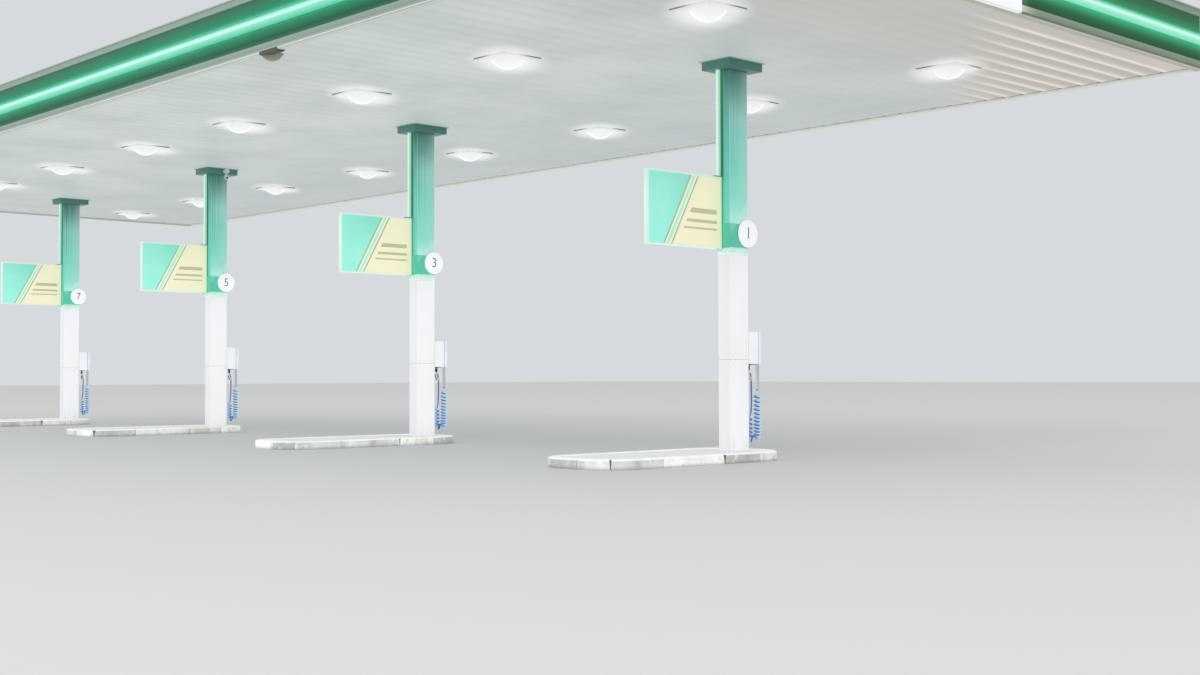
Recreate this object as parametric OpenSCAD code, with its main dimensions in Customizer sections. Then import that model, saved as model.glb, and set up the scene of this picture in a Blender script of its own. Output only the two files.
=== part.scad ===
// Filling station canopy: a flat roof on one row of four clad columns,
// with a lit fascia, hanging sign panels and a kerbed island round each foot.
// The length runs along X, the islands along Y; the origin is on the ground,
// at the middle of the canopy's plan.

/* [Canopy] */
// Height of the soffit above the ground
soffit_z = 5030; // [3800:10:7000]
// Width of the canopy, across the column row
canopy_w = 9500; // [7600:50:14000]
// Height of the fascia
fascia_h = 795; // [635:5:1200]
// How far the fascia's foot hangs below the soffit planks
lip_drop = 25; // [10:5:60]
// Thickness of the fascia panels
fascia_t = 60; // [40:5:100]
// Height of the pale band along the fascia's top
top_band_h = 95; // [60:5:160]
// Height of the pale band along the fascia's bottom
bottom_band_h = 115; // [80:5:180]
// How far the pale bands stand out from the green panels
band_out = 12; // [4:1:20]
// Height of the light tube along the fascia
tube_h = 150; // [80:5:180]
// How far the light tube stands out from the green panels
tube_out = 38; // [24:1:60]
// Height of the light tube's centre above the fascia's foot
tube_up = 395; // [280:5:440]

/* [Soffit and roof] */
// Thickness of the soffit planks
soffit_t = 30; // [20:1:60]
// Width of one soffit plank
plank_w = 295; // [200:5:600]
// From the fascia's inner face to the first step between planks
first_step = 380; // [240:5:600]
// Width of the sloping edge of a plank
groove_w = 90; // [20:5:120]
// Height of the step between two planks
groove_d = 12; // [4:1:18]
// Width of the white trim round the soffit
trim_w = 40; // [30:5:140]
// How far the trim hangs below the planks
trim_drop = 6; // [3:1:9]
// Height of the roof sheet's ribs
rib_h = 40; // [20:1:80]
// Distance between two ribs of the roof sheet
rib_pitch = 330; // [200:10:500]
// Width of a rib's flat crest
crest_w = 84; // [40:2:120]
// Width of a rib's sloping side
slope_w = 34; // [10:2:40]
// Thickness of the roof sheet
sheet_t = 6; // [3:1:10]
// Depth of the spine beam and its arms
beam_h = 500; // [300:10:560]
// Width of the beam flanges
beam_w = 220; // [160:10:300]
// Thickness of the beam flanges
flange_t = 20; // [12:1:30]
// Thickness of the beam webs
web_t = 14; // [8:1:24]

/* [Columns] */
// Distance between two columns
bay = 6600; // [5200:50:8000]
// From the first column to the near end of the canopy
near_overhang = 3900; // [2600:50:5000]
// From the last column to the far end of the canopy
far_overhang = 3400; // [2600:50:5000]
// Thickness of the cladding along the length of the canopy
clad_x = 200; // [180:5:400]
// Width of the cladding across the canopy
clad_y = 360; // [300:5:600]
// Wall of the cladding
clad_t = 6; // [3:1:12]
// Height of the joint between the white and the green cladding
split_z = 2570; // [2300:10:2700]
// Height of the pale ring in that joint
ring_h = 90; // [40:5:140]
// Wall of the steel post
post_t = 10; // [6:1:14]
// Gap between the steel post and its cladding
post_gap = 9; // [4:1:14]
// Height of the collar under the soffit
collar_h = 110; // [40:5:160]
// How far the collar reaches past the cladding
collar_out = 135; // [60:5:220]
// Width of the light strip on the column
strip_w = 40; // [20:2:100]
// How far the light strip stands out
strip_out = 56; // [30:2:90]
// From the column's axis to the light strip and the sign, along the canopy
rail_x = -50; // [-60:5:0]

/* [Signs] */
// Length of the sign panel that hangs from a column
sign_l = 1325; // [800:25:1900]
// Height of the sign panel
sign_h = 910; // [500:10:1100]
// Thickness of the sign panel
sign_t = 70; // [40:2:100]
// Gap between the sign panel's foot and the pale ring's foot
sign_up = 78; // [20:2:180]
// Diameter of the number disc
disc_d = 350; // [200:10:400]
// Thickness of the number disc
disc_t = 36; // [16:1:60]
// Height of the wrap that carries the number discs
wrap_h = 300; // [200:10:400]
// Thickness of that wrap
wrap_t = 8; // [4:1:14]
// Gap between the pale ring and the wrap
wrap_up = 10; // [0:1:40]
// From the wrap's foot to the disc's centre
disc_up = 183; // [150:1:220]
// From the column's axis to the disc's centre
disc_y = 135; // [40:5:150]
// Width of the blank sign on the near end of the fascia
end_sign_w = 1200; // [600:20:2400]
// How far the blank sign stands out from the pale bands
end_sign_out = 60; // [30:5:120]
// Gap between the blank sign and the light tube beside it
end_sign_clear = 10; // [2:1:40]
// From the column row to the blank sign's centre
end_sign_y = -320; // [-800:10:800]

/* [Lights] */
// Side of a square downlight
lamp_w = 600; // [400:10:700]
// Thickness of a downlight's frame
lamp_t = 28; // [16:1:60]
// Diameter of the bowl lens under a downlight
lens_d = 410; // [340:10:500]
// How far the bowl lens hangs below the frame
lens_drop = 115; // [60:5:140]
// From a column to the downlights beside it, along the canopy
lamp_x = 1700; // [1200:10:2200]
// From the column row to a row of downlights
lamp_y = 2300; // [1600:10:3000]

/* [Islands] */
// Length of an island
island_l = 3150; // [2400:50:4800]
// Width of an island
island_w = 1300; // [1200:20:2400]
// Height of an island
island_h = 120; // [80:5:200]
// Radius of an island's corners
island_r = 450; // [200:10:560]
// Width of the kerb stones
kerb_w = 130; // [90:5:165]
// How far the infill lies below the kerb's top
infill_drop = 10; // [4:1:30]
// From the column's back face to the island's back end
island_behind = 170; // [170:5:700]
// Clearance between the island and the steel post
post_clear = 5; // [2:1:8]

/* [Service box] */
// Height of the service box
box_h = 410; // [250:5:600]
// Depth of the service box, away from the column
box_y = 255; // [210:5:320]
// Width of the service box
box_x = 190; // [180:5:260]
// Height of the service box's underside above the ground
box_z = 1200; // [1000:10:1400]
// Diameter of the sleeve that the hose comes out of
sleeve_d = 54; // [30:2:60]
// From the column's axis to the sleeve, along the canopy
sleeve_x = 60; // [40:5:60]
// From the box's outer face to the sleeve's middle
sleeve_in = 50; // [40:5:80]
// Outer diameter of the coiled hose
coil_d = 100; // [95:5:110]
// Length of the coil that hangs from the sleeve
coil_l = 670; // [400:10:740]
// Length of the coil that rises to the air gun
rise_l = 370; // [200:10:540]
// From the first coil to the second, towards the column
coil_gap = 105; // [90:5:105]
// From the coils' foot to the island's top
coil_up = 70; // [40:5:150]
// Diameter of the bend between the two coils
bend_d = 84; // [40:2:90]
// Diameter of the hose
hose_d = 14; // [8:1:20]
// Width of the air gun's holder
holder_w = 44; // [30:2:60]
// Height of the air gun's holder
holder_h = 80; // [40:5:120]
// Diameter of the air gun at its top
gun_d = 34; // [24:2:44]
// Length of the air gun below its holder
gun_l = 130; // [80:5:140]

/* [Small fittings] */
// Diameter of the dome under the fascia's foot
dome_d = 290; // [200:10:300]
// How far the dome hangs below the fascia's foot, with its base
dome_h = 120; // [60:2:140]
// Height of the dome's base ring
dome_base_h = 36; // [16:2:40]
// How far the base ring stands out past the dome
dome_lip = 8; // [4:1:16]
// Diameter of the pad that holds the dome to the soffit
dome_pad_d = 120; // [80:5:140]
// From the fascia's face to the dome's middle
dome_in = 110; // [100:5:120]
// From the first column to the dome, along the canopy
dome_x = 3420; // [2400:20:3600]
// Diameter of the camera's round housings at the head of the third column
camera_d = 95; // [60:5:105]
// Gap between the soffit and the upper housing
camera_clear = 7; // [2:1:12]
// From the column row to the camera
camera_y = 50; // [-100:10:100]

/* [Hidden] */
COLUMNS = [1, 2, 3, 4];
SIDES = ["front", "near", "back", "far"];
$fn = 64;

bays = len(COLUMNS) - 1;
canopy_l = near_overhang + bays * bay + far_overhang;
fascia_foot = soffit_z - lip_drop;
fascia_top = fascia_foot + fascia_h;
// Height of the green panels between the two bands
panel_bottom = fascia_foot + bottom_band_h;
panel_top = fascia_top - top_band_h;
inner_l = canopy_l - 2 * fascia_t;
inner_w = canopy_w - 2 * fascia_t;
beam_bottom = soffit_z + soffit_t;
beam_top = beam_bottom + beam_h;
post_x = clad_x - 2 * (clad_t + post_gap);
post_y = clad_y - 2 * (clad_t + post_gap);
clad_top = soffit_z - collar_h;
sign_bottom = split_z + sign_up;
strip_bottom = sign_bottom + sign_h;
wrap_bottom = split_z + ring_h + wrap_up;
infill_top = island_h - infill_drop;
// From the column's axis to the island's back end
island_back = clad_y / 2 + island_behind;
coil_foot = island_h + coil_up;
// Underside of the air gun
gun_foot = box_z - holder_h - gun_l;
// From the column's back face to the sleeve, and to the air gun
sleeve_y = box_y - sleeve_in;
gun_y = sleeve_y - coil_gap;
// Depth by which one shape enters another that it is joined with
join = 1;

// Place of a column's axis along the canopy, the first at the near end
function column_x(n) = canopy_l / 2 - near_overhang - (n - 1) * bay;

// A rectangular tube, standing, with its walls inside the given size
module square_tube(x, y, h, t) {
    linear_extrude(h) difference() {
        square([x, y], center = true);
        square([x - 2 * t, y - 2 * t], center = true);
    }
}

module roof_sheet() {
    z = beam_top;
    ribs = floor((inner_l - rib_pitch / 2) / rib_pitch);
    start = -ribs * rib_pitch / 2;
    top = concat(
        [[-inner_l / 2, 0]],
        [for (i = [0 : ribs]) let (x = start + i * rib_pitch) each [
            [x - crest_w / 2 - slope_w, 0],
            [x - crest_w / 2, rib_h],
            [x + crest_w / 2, rib_h],
            [x + crest_w / 2 + slope_w, 0]]],
        [[inner_l / 2, 0]]
    );
    outline = concat(
        [for (p = top) [p[0], p[1] + sheet_t]],
        [for (i = [len(top) - 1 : -1 : 0]) top[i]]
    );
    color("silver")
    translate([0, inner_w / 2, z]) rotate([90, 0, 0])
        linear_extrude(inner_w) polygon(outline);
}

// I section in the XY plane, standing on its bottom flange
module beam_section() {
    translate([-beam_w / 2, 0]) square([beam_w, flange_t]);
    translate([-beam_w / 2, beam_h - flange_t]) square([beam_w, flange_t]);
    translate([-web_t / 2, 0]) square([web_t, beam_h]);
}

// The spine beam on the posts, with an arm to each side over every column
module roof_frame() {
    arm = inner_w / 2 - web_t / 2;
    color("gray") {
        translate([-inner_l / 2, 0, beam_bottom]) rotate([90, 0, 90])
            linear_extrude(inner_l) beam_section();
        for (n = COLUMNS, s = [-1, 1])
            translate([column_x(n), s > 0 ? inner_w / 2 : -web_t / 2, beam_bottom])
                rotate([90, 0, 0]) linear_extrude(arm) beam_section();
    }
}

// Planks across the canopy, each with one sloping edge and a step down to the
// next, and a trim round the edge
module soffit() {
    last = inner_l / 2 - first_step;
    planks = floor((inner_l - first_step) / plank_w);
    steps = [for (i = [planks : -1 : 0]) last - i * plank_w];
    outline = concat(
        [[-inner_l / 2, soffit_t], [-inner_l / 2, 0]],
        [for (x = steps) if (x > trim_w + groove_w - inner_l / 2) each [
            [x - groove_w, 0], [x, groove_d], [x, 0]]],
        [[inner_l / 2, 0], [inner_l / 2, soffit_t]]
    );
    color("whitesmoke")
    difference() {
        union() {
            translate([0, inner_w / 2, soffit_z]) rotate([90, 0, 0])
                linear_extrude(inner_w) polygon(outline);
            translate([0, 0, soffit_z - trim_drop])
                square_tube(inner_l, inner_w, trim_drop + groove_d + join, trim_w);
        }
        for (n = COLUMNS)
            translate([column_x(n), 0, soffit_z + soffit_t / 2])
                cube([post_x + 2 * post_clear, post_y + 2 * post_clear, 2 * soffit_t], center = true);
    }
}

// Turns a shape made for the front side to the given side
module on_side(side) {
    turn = side == "front" ? 0 : side == "near" ? 90 : side == "back" ? 180 : 270;
    rotate(turn) children();
}

// Length of the given side, and the canopy's width square to it
function side_l(side) = side == "front" || side == "back" ? canopy_l : canopy_w;
function side_w(side) = side == "front" || side == "back" ? canopy_w : canopy_l;

// A bar along a side, mitred at both corners: from the outer face out, t deep
module mitred_bar(side, out, t, h) {
    l = side_l(side) / 2 + out;
    w = side_w(side) / 2 + out;
    linear_extrude(h) polygon([[-l, -w], [l, -w], [l - t, -w + t], [-l + t, -w + t]]);
}

module fascia(side) {
    color("mediumseagreen") on_side(side)
        translate([0, 0, panel_bottom]) mitred_bar(side, 0, fascia_t, panel_top - panel_bottom);
}

module pale_bands(side) {
    color("gainsboro") on_side(side) {
        translate([0, 0, fascia_foot])
            mitred_bar(side, band_out, fascia_t + band_out, bottom_band_h);
        translate([0, 0, panel_top]) mitred_bar(side, band_out, fascia_t + band_out, top_band_h);
    }
}

// Section of the light tube: a segment of a circle on a flat back
module lens_section() {
    half = tube_h / 2;
    r = (half * half + tube_out * tube_out) / (2 * tube_out);
    intersection() {
        translate([r - tube_out, 0]) circle(r, $fn = 96);
        translate([-tube_out, -half]) square([tube_out, tube_h]);
    }
}

module light_tube(side) {
    l = side_l(side) + 2 * tube_out;
    color("honeydew") difference() {
        on_side(side) intersection() {
            translate([-l / 2, -side_w(side) / 2, fascia_foot + tube_up])
                rotate([90, 0, 90]) linear_extrude(l) lens_section();
            translate([0, 0, fascia_foot]) mitred_bar(side, tube_out, 2 * tube_out, fascia_h);
        }
        for (s = [-1, 1])
            translate([s * canopy_l / 2, end_sign_y, fascia_foot + tube_up])
                cube([4 * tube_out, end_sign_w + 2 * end_sign_clear, 2 * tube_h], center = true);
    }
}

// A bare lit box on the end of the fascia, standing on the two pale bands
module end_sign(s) {
    x = canopy_l / 2 + band_out;
    color("white")
    translate([s > 0 ? x : -x - end_sign_out, end_sign_y - end_sign_w / 2, fascia_foot])
        cube([end_sign_out, end_sign_w, fascia_h]);
}

// A ball's cap of radius r that hangs h below the origin
module hanging_cap(r, h) {
    ball_r = (r * r + h * h) / (2 * h);
    rotate_extrude() intersection() {
        translate([0, ball_r - h]) circle(ball_r);
        translate([0, -h]) square([r, h + join]);
    }
}

// A square downlight: a flat frame with a round bowl lens under it
module downlight() {
    translate([-lamp_w / 2, -lamp_w / 2, -lamp_t]) cube([lamp_w, lamp_w, lamp_t]);
    translate([0, 0, -lamp_t]) hanging_cap(lens_d / 2, lens_drop);
}

module downlights() {
    color("ivory")
    for (n = COLUMNS, sx = [-1, 1], sy = [-1, 1])
        translate([column_x(n) + sx * lamp_x, sy * lamp_y, soffit_z]) downlight();
}

// The dome at the fascia's foot: a ball's cap on a flat ring, held by a pad on
// the soffit
module soffit_fittings() {
    r = dome_d / 2;
    pad_y = fascia_t + trim_w + dome_pad_d / 2 - dome_in;
    color("tan")
    translate([column_x(1) - dome_x, -canopy_w / 2 + dome_in, fascia_foot - dome_base_h]) {
        cylinder(r = r, h = dome_base_h);
        translate([0, pad_y, 0]) cylinder(d = dome_pad_d, h = dome_base_h + lip_drop);
        hanging_cap(r - dome_lip, dome_h - dome_base_h);
    }
}

// A camera on the collar of the third column: a round base with a ball below
module head_camera() {
    neck_l = camera_d + 2 * camera_clear;
    z = soffit_z - camera_clear - camera_d / 2;
    color("white")
    translate([column_x(3) + clad_x / 2 + collar_out, camera_y, z]) {
        rotate([0, 90, 0]) cylinder(d = camera_d, h = camera_d);
        translate([camera_d / 2, 0, -neck_l]) {
            cylinder(d = camera_d / 2, h = neck_l);
            sphere(d = camera_d);
        }
    }
}

module posts() {
    color("dimgray")
    for (n = COLUMNS)
        translate([column_x(n), 0, 0]) square_tube(post_x, post_y, beam_bottom, post_t);
}

// Green cladding with its collar, number wrap and light strip
module upper_cladding(n) {
    x = column_x(n);
    bottom = split_z + ring_h;
    translate([x, 0, 0]) {
        color("mediumaquamarine")
            translate([0, 0, bottom]) square_tube(clad_x, clad_y, clad_top - bottom, clad_t);
        color("darkgreen")
            translate([0, 0, clad_top])
            square_tube(clad_x + 2 * collar_out, clad_y + 2 * collar_out, collar_h,
                        collar_out + clad_t);
        color("seagreen")
            translate([0, 0, wrap_bottom])
            square_tube(clad_x + 2 * wrap_t, clad_y + 2 * wrap_t, wrap_h, wrap_t + join);
        color("honeydew")
            translate([rail_x - strip_w / 2, -clad_y / 2 - strip_out, strip_bottom])
            cube([strip_w, strip_out + join, clad_top - strip_bottom]);
    }
}

// White cladding with the pale ring on top
module lower_cladding(n) {
    color("whitesmoke")
    translate([column_x(n), 0, infill_top])
        square_tube(clad_x, clad_y, split_z + ring_h - infill_top, clad_t);
}

module sign_panel(n) {
    color("palegoldenrod")
    translate([column_x(n) + rail_x - sign_t / 2, -clad_y / 2 - wrap_t - sign_l, sign_bottom])
        cube([sign_t, sign_l, sign_h]);
}

module number_discs(n) {
    color("white")
    for (s = [-1, 1])
        translate([column_x(n) + s * (clad_x / 2 + wrap_t), disc_y, wrap_bottom + disc_up])
            rotate([0, s * 90, 0]) cylinder(d = disc_d, h = disc_t);
}

// The box with its hose sleeve, and the air gun in a holder underneath
module service_box(n) {
    sleeve_l = box_z - coil_foot - coil_l;
    color("white")
    translate([column_x(n), clad_y / 2, 0]) {
        translate([-box_x / 2, 0, box_z]) cube([box_x, box_y, box_h]);
        translate([sleeve_x, sleeve_y, box_z - sleeve_l]) cylinder(d = sleeve_d, h = sleeve_l + join);
        translate([-holder_w / 2, gun_y - holder_w / 2, box_z - holder_h])
            cube([holder_w, holder_w, holder_h + join]);
        translate([0, gun_y, gun_foot]) cylinder(d1 = hose_d, d2 = gun_d, h = gun_l + join);
    }
}

// Outer shape of one hanging coil, standing on its rounded foot
module coil_shape(l) {
    r = coil_d / 2;
    rotate_extrude() intersection() {
        union() {
            translate([0, r]) circle(r);
            translate([0, r]) square([r, l - r]);
        }
        square([r, l]);
    }
}

// Outer shape of the hose: one coil down from the sleeve, a bend, a second coil
// up again, and a straight end to the air gun
module hose_coil(n) {
    turn = atan2(-coil_gap, -sleeve_x);
    color("dodgerblue")
    translate([column_x(n), clad_y / 2, coil_foot]) {
        translate([sleeve_x, sleeve_y, 0]) coil_shape(coil_l);
        translate([0, gun_y, 0]) coil_shape(rise_l);
        translate([sleeve_x, sleeve_y, coil_d / 2]) rotate([0, 90, turn])
            cylinder(d = bend_d, h = norm([sleeve_x, coil_gap]));
        translate([0, gun_y, rise_l - join]) cylinder(d = hose_d, h = gun_foot - coil_foot - rise_l + join);
    }
}

// Plan of an island with round corners, made smaller all round by the inset
module island_plan(inset) {
    back = island_back - inset;
    front = island_back - island_l + inset;
    half = island_w / 2 - inset;
    r = island_r - inset;
    translate([-half, front + r]) square([2 * half, back - front - 2 * r]);
    translate([r - half, front]) square([2 * (half - r), back - front]);
    for (sx = [-1, 1], y = [front + r, back - r]) translate([sx * (half - r), y]) circle(r);
}

// A kerb with a slightly lower infill, and a hole for the post
module island(n) {
    hole_x = post_x + 2 * post_clear;
    hole_y = post_y + 2 * post_clear;
    color("lightgray")
    translate([column_x(n), 0, 0]) difference() {
        linear_extrude(island_h) island_plan(0);
        translate([0, 0, infill_top]) linear_extrude(infill_drop + join) island_plan(kerb_w);
        translate([-hole_x / 2, -hole_y / 2, -join]) cube([hole_x, hole_y, island_h + 2 * join]);
    }
}

roof_sheet();
roof_frame();
posts();
soffit();
for (side = SIDES) {
    fascia(side);
    pale_bands(side);
    light_tube(side);
}
end_sign(1);  // end_sign_near
end_sign(-1);  // end_sign_far
downlights();
soffit_fittings();
head_camera();
for (n = COLUMNS) {
    upper_cladding(n);
    lower_cladding(n);
    sign_panel(n);
    number_discs(n);
    service_box(n);
    hose_coil(n);
    island(n);
}
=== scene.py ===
import math

import bmesh
import bpy
from mathutils import Matrix, Vector
from mathutils.geometry import interpolate_bezier


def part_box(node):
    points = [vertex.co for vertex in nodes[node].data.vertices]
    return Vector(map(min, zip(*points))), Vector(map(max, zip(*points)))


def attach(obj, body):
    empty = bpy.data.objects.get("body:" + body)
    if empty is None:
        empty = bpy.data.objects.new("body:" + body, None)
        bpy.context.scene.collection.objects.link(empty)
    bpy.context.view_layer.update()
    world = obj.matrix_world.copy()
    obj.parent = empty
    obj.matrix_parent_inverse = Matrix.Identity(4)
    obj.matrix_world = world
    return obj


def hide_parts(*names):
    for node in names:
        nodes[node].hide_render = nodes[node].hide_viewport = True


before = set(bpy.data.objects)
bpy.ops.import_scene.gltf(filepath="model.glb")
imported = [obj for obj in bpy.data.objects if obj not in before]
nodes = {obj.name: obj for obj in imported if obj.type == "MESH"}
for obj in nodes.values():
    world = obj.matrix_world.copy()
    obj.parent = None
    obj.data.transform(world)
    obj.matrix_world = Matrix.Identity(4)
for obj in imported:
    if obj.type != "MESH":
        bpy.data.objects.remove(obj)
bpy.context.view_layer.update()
columns = (1, 2, 3, 4)
plan = {  # metres, as in the solids
    "halfLength": 13.55, "halfWidth": 4.75, "soffit": 5.03, "foot": 5.005, "firstColumn": 9.65, "bay": 6.6,
}


def columnX(number):
    return plan["firstColumn"] - (number - 1) * plan["bay"]


# camera, as in the photograph
shot = {"place": (22.174, -14.108, 1.07), "yaw": -46.74, "pitch": 1.434, "roll": -0.166,
        "lens": 44.49, "sensor": 36.0}


def makeCamera():
    yaw, pitch, roll = (math.radians(shot[key]) for key in ("yaw", "pitch", "roll"))
    ahead = Vector((math.sin(yaw) * math.cos(pitch), math.cos(yaw) * math.cos(pitch), math.sin(pitch)))
    level = Vector((math.cos(yaw), -math.sin(yaw), 0))
    up = level.cross(ahead)
    right = math.cos(roll) * level + math.sin(roll) * up
    up = math.cos(roll) * up - math.sin(roll) * level
    data = bpy.data.cameras.new("photoCamera")
    data.lens = shot["lens"]
    data.sensor_width = shot["sensor"]
    data.clip_end = 500
    camera = bpy.data.objects.new("photoCamera", data)
    turn = Matrix((right, up, -ahead)).transposed().to_4x4()
    camera.matrix_world = Matrix.Translation(shot["place"]) @ turn
    bpy.context.scene.collection.objects.link(camera)
    bpy.context.scene.camera = camera


makeCamera()


# shader sums: a node's output that can stand in an expression
class Sock:
    def __init__(self, paint, out):
        self.paint, self.out = paint, out

    def calc(self, operation, *others):
        values = dict(enumerate((self,) + others))
        return self.paint.node("ShaderNodeMath", {"operation": operation}, values)

    def __add__(self, other):
        return self.calc("ADD", other)

    def __mul__(self, other):
        return self.calc("MULTIPLY", other)

    def __sub__(self, other):
        return self.calc("SUBTRACT", other)

    def __truediv__(self, other):
        return self.calc("DIVIDE", other)

    def __rsub__(self, other):
        return self.paint.node("ShaderNodeMath", {"operation": "SUBTRACT"}, {0: other, 1: self})

    def __pow__(self, other):
        return self.calc("POWER", other)

    def __abs__(self):
        return self.calc("ABSOLUTE")

    __radd__, __rmul__ = __add__, __mul__

    def clip(self):
        return self.paint.node("ShaderNodeClamp", {}, {"Value": self})

    def fade(self, start, end):  # 0 at start, 1 at end, smooth between them
        settings = {"interpolation_type": "SMOOTHSTEP"}
        return self.paint.node("ShaderNodeMapRange", settings,
                               {"Value": self, "From Min": start, "From Max": end})


def screen(red, green, blue):  # a colour as it looks on screen, in the renderer's values
    values = [value / 255 for value in (red, green, blue)]
    return tuple(v / 12.92 if v <= 0.04045 else ((v + 0.055) / 1.055) ** 2.4 for v in values) + (1.0,)


# a material in the making
class Paint:
    def __init__(self, name, **fixed):
        self.material = bpy.data.materials.new(name)
        self.material.use_nodes = True
        self.tree = self.material.node_tree
        self.tree.nodes.clear()
        output = self.tree.nodes.new("ShaderNodeOutputMaterial")
        self.shader = self.tree.nodes.new("ShaderNodeBsdfPrincipled")
        self.tree.links.new(self.shader.outputs[0], output.inputs[0])
        self.place = self.node("ShaderNodeTexCoord", {}, {}, "Object")
        self.set(**fixed)

    def node(self, kind, settings, sockets, output=0):
        made = self.tree.nodes.new(kind)
        for key, value in settings.items():
            if key == "stops":
                for _ in range(len(value) - 2):
                    made.color_ramp.elements.new(0.5)
                for stop, (place, colour) in zip(made.color_ramp.elements, value):
                    stop.position, stop.color = place, colour
            else:
                setattr(made, key, value)
        for key, value in sockets.items():
            self.join(made.inputs[key], value)
        return Sock(self, made.outputs[output])

    def join(self, socket, value):
        if isinstance(value, Sock):
            self.tree.links.new(value.out, socket)
        else:
            socket.default_value = value

    def set(self, **values):
        for key, value in values.items():
            words = "".join(" " + c if c.isupper() else c for c in key).title()
            self.join(self.shader.inputs["Specular IOR Level" if key == "specular" else words], value)
        return self.material

    def axis(self, index):
        return self.node("ShaderNodeSeparateXYZ", {}, {0: self.place}, index)

    def noise(self, scale, detail=3.0, stretch=(1, 1, 1), rough=0.55):
        at = self.node("ShaderNodeMapping", {}, {"Vector": self.place, "Scale": stretch})
        return self.node("ShaderNodeTexNoise", {}, {"Vector": at, "Scale": scale, "Detail": detail,
                                                    "Roughness": rough})

    def mix(self, factor, first, second):  # plain colours are as they look on screen
        first, second = (value if isinstance(value, Sock) else screen(*value) for value in (first, second))
        return self.node("ShaderNodeMix", {"data_type": "RGBA"}, {0: factor, 6: first, 7: second}, 2)

    def wash(self, share, colour):  # lays a colour over the tone so far
        self.tone = self.mix(share, self.tone, colour)

    def bump(self, height, strength, distance):
        sockets = {"Strength": strength, "Distance": distance, "Height": height}
        return self.node("ShaderNodeBump", {}, sockets)

    def ramp(self, value, stops):  # stops of (value, colour on screen), in rising order
        low, high = stops[0][0], stops[-1][0]
        places = [((place - low) / (high - low), screen(*colour)) for place, colour in stops]
        return self.node("ShaderNodeValToRGB", {"stops": places}, {0: (value - low) / (high - low)})

    def seams(self, index, step, half):  # 1 on thin lines across an axis, one every step
        share = (self.axis(index) / step + 0.5).calc("FRACT")
        return 1 - (abs(share - 0.5) * step).fade(half, half * 1.5)

    def lit(self, own, lent, **values):  # the tone is partly the surface's own light, partly lent by lamps
        black = (0, 0, 0)
        self.set(emissionColor=self.mix(own, black, self.tone), emissionStrength=1.0)
        return self.set(baseColor=self.mix(lent, black, self.tone), **values)


def shaded(colour, share):
    return [value * share for value in colour]


def coated(name, colour, roughness=0.35, grime=0.25, fineScale=70.0, metallic=0.0, coat=0.0, own=0.0):
    paint = Paint(name, metallic=metallic, coatWeight=coat)
    wide = paint.noise(0.8, 4)
    fine = paint.noise(fineScale)
    tone = paint.mix(wide.fade(0.4, 0.75) * 0.6, colour, shaded(colour, 1 - 0.35 * grime))
    # own: a painted glow, the finish lit by its own light
    if own:
        paint.set(emissionColor=tone, emissionStrength=own)
    return paint.set(baseColor=tone, roughness=fine * 0.15 + (roughness - 0.07),
                     normal=paint.bump(fine, 0.12, 0.0006))


# mesh helpers
def placed(place, turn, axis="Y"):  # where a part stands, and how it is turned
    return Matrix.Translation(place) @ Matrix.Rotation(turn, 4, axis)


def stud(bm, matrix, low, high, depth, segments=6):  # a small round head, its radius given low and high
    bmesh.ops.create_cone(bm, cap_ends=True, segments=segments, radius1=low, radius2=high, depth=depth,
                          matrix=matrix)


def shifted(point, *by):
    return tuple(value + step for value, step in zip(point, by))


def block(bm, low, high):
    low, high = Vector(low), Vector(high)
    size = Matrix.Diagonal((*(high - low), 1))
    return bmesh.ops.create_cube(bm, size=1, matrix=Matrix.Translation((low + high) / 2) @ size)["verts"]


def edgesOf(verts, test):
    inside = set(verts)
    edges = {edge for vert in verts for edge in vert.link_edges if edge.other_vert(vert) in inside}
    return [edge for edge in edges if test(edge)]


def along(axis):
    return lambda edge: abs((edge.verts[0].co - edge.verts[1].co).normalized()[axis]) > 0.99


def roundEdges(bm, edges, radius, segments):
    bmesh.ops.bevel(bm, geom=edges, offset=radius, segments=segments, profile=0.5, affect="EDGES",
                    clamp_overlap=True, material=-1)


def roundBlock(bm, low, high, radius, axis=None, segments=2):
    verts = block(bm, low, high)
    roundEdges(bm, edgesOf(verts, along(axis) if axis is not None else lambda edge: True), radius, segments)


def extrudeOutline(bm, points, shift):  # a closed outline pushed along a vector
    face = bm.faces.new([bm.verts.new(point) for point in points])
    grown = bmesh.ops.extrude_face_region(bm, geom=[face])["geom"]
    bmesh.ops.translate(bm, verts=[v for v in grown if isinstance(v, bmesh.types.BMVert)], vec=shift)


def aroundRoof(bm, outline):  # a closed outline of (outwards, height), led round the four mitred corners
    corner = [bm.verts.new((plan["halfLength"] + out, -plan["halfWidth"] - out, z)) for out, z in outline]
    edges = [bm.edges.new(pair) for pair in zip(corner, corner[1:] + corner[:1])]
    for flip in ((-1, 1, 1), (1, -1, 1)) * 2:
        grown = bmesh.ops.extrude_edge_only(bm, edges=edges)["geom"]
        edges = [part for part in grown if isinstance(part, bmesh.types.BMEdge)]
        bmesh.ops.scale(bm, verts=[part for part in grown if isinstance(part, bmesh.types.BMVert)], vec=flip)
    bmesh.ops.remove_doubles(bm, verts=bm.verts, dist=1e-5)


def piece(name, bm, paints, replaces=(), smooth=35):
    bmesh.ops.recalc_face_normals(bm, faces=bm.faces)
    mesh = bpy.data.meshes.new(name)
    bm.to_mesh(mesh)
    bm.free()
    for paint in paints:
        mesh.materials.append(paint)
    mesh.polygons.foreach_set("use_smooth", [True] * len(mesh.polygons))
    mesh.set_sharp_from_angle(angle=math.radians(smooth))
    made = bpy.data.objects.new(name, mesh)
    bpy.context.scene.collection.objects.link(made)
    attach(made, "root")
    if replaces:
        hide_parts(*replaces)


def blocks(name, parts, paint, replaces=()):  # a piece of blocks, rounded where they have a radius
    bm = bmesh.new()
    for part in parts:
        (roundBlock if len(part) > 2 else block)(bm, *part)
    piece(name, bm, [paint], replaces)


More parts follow.
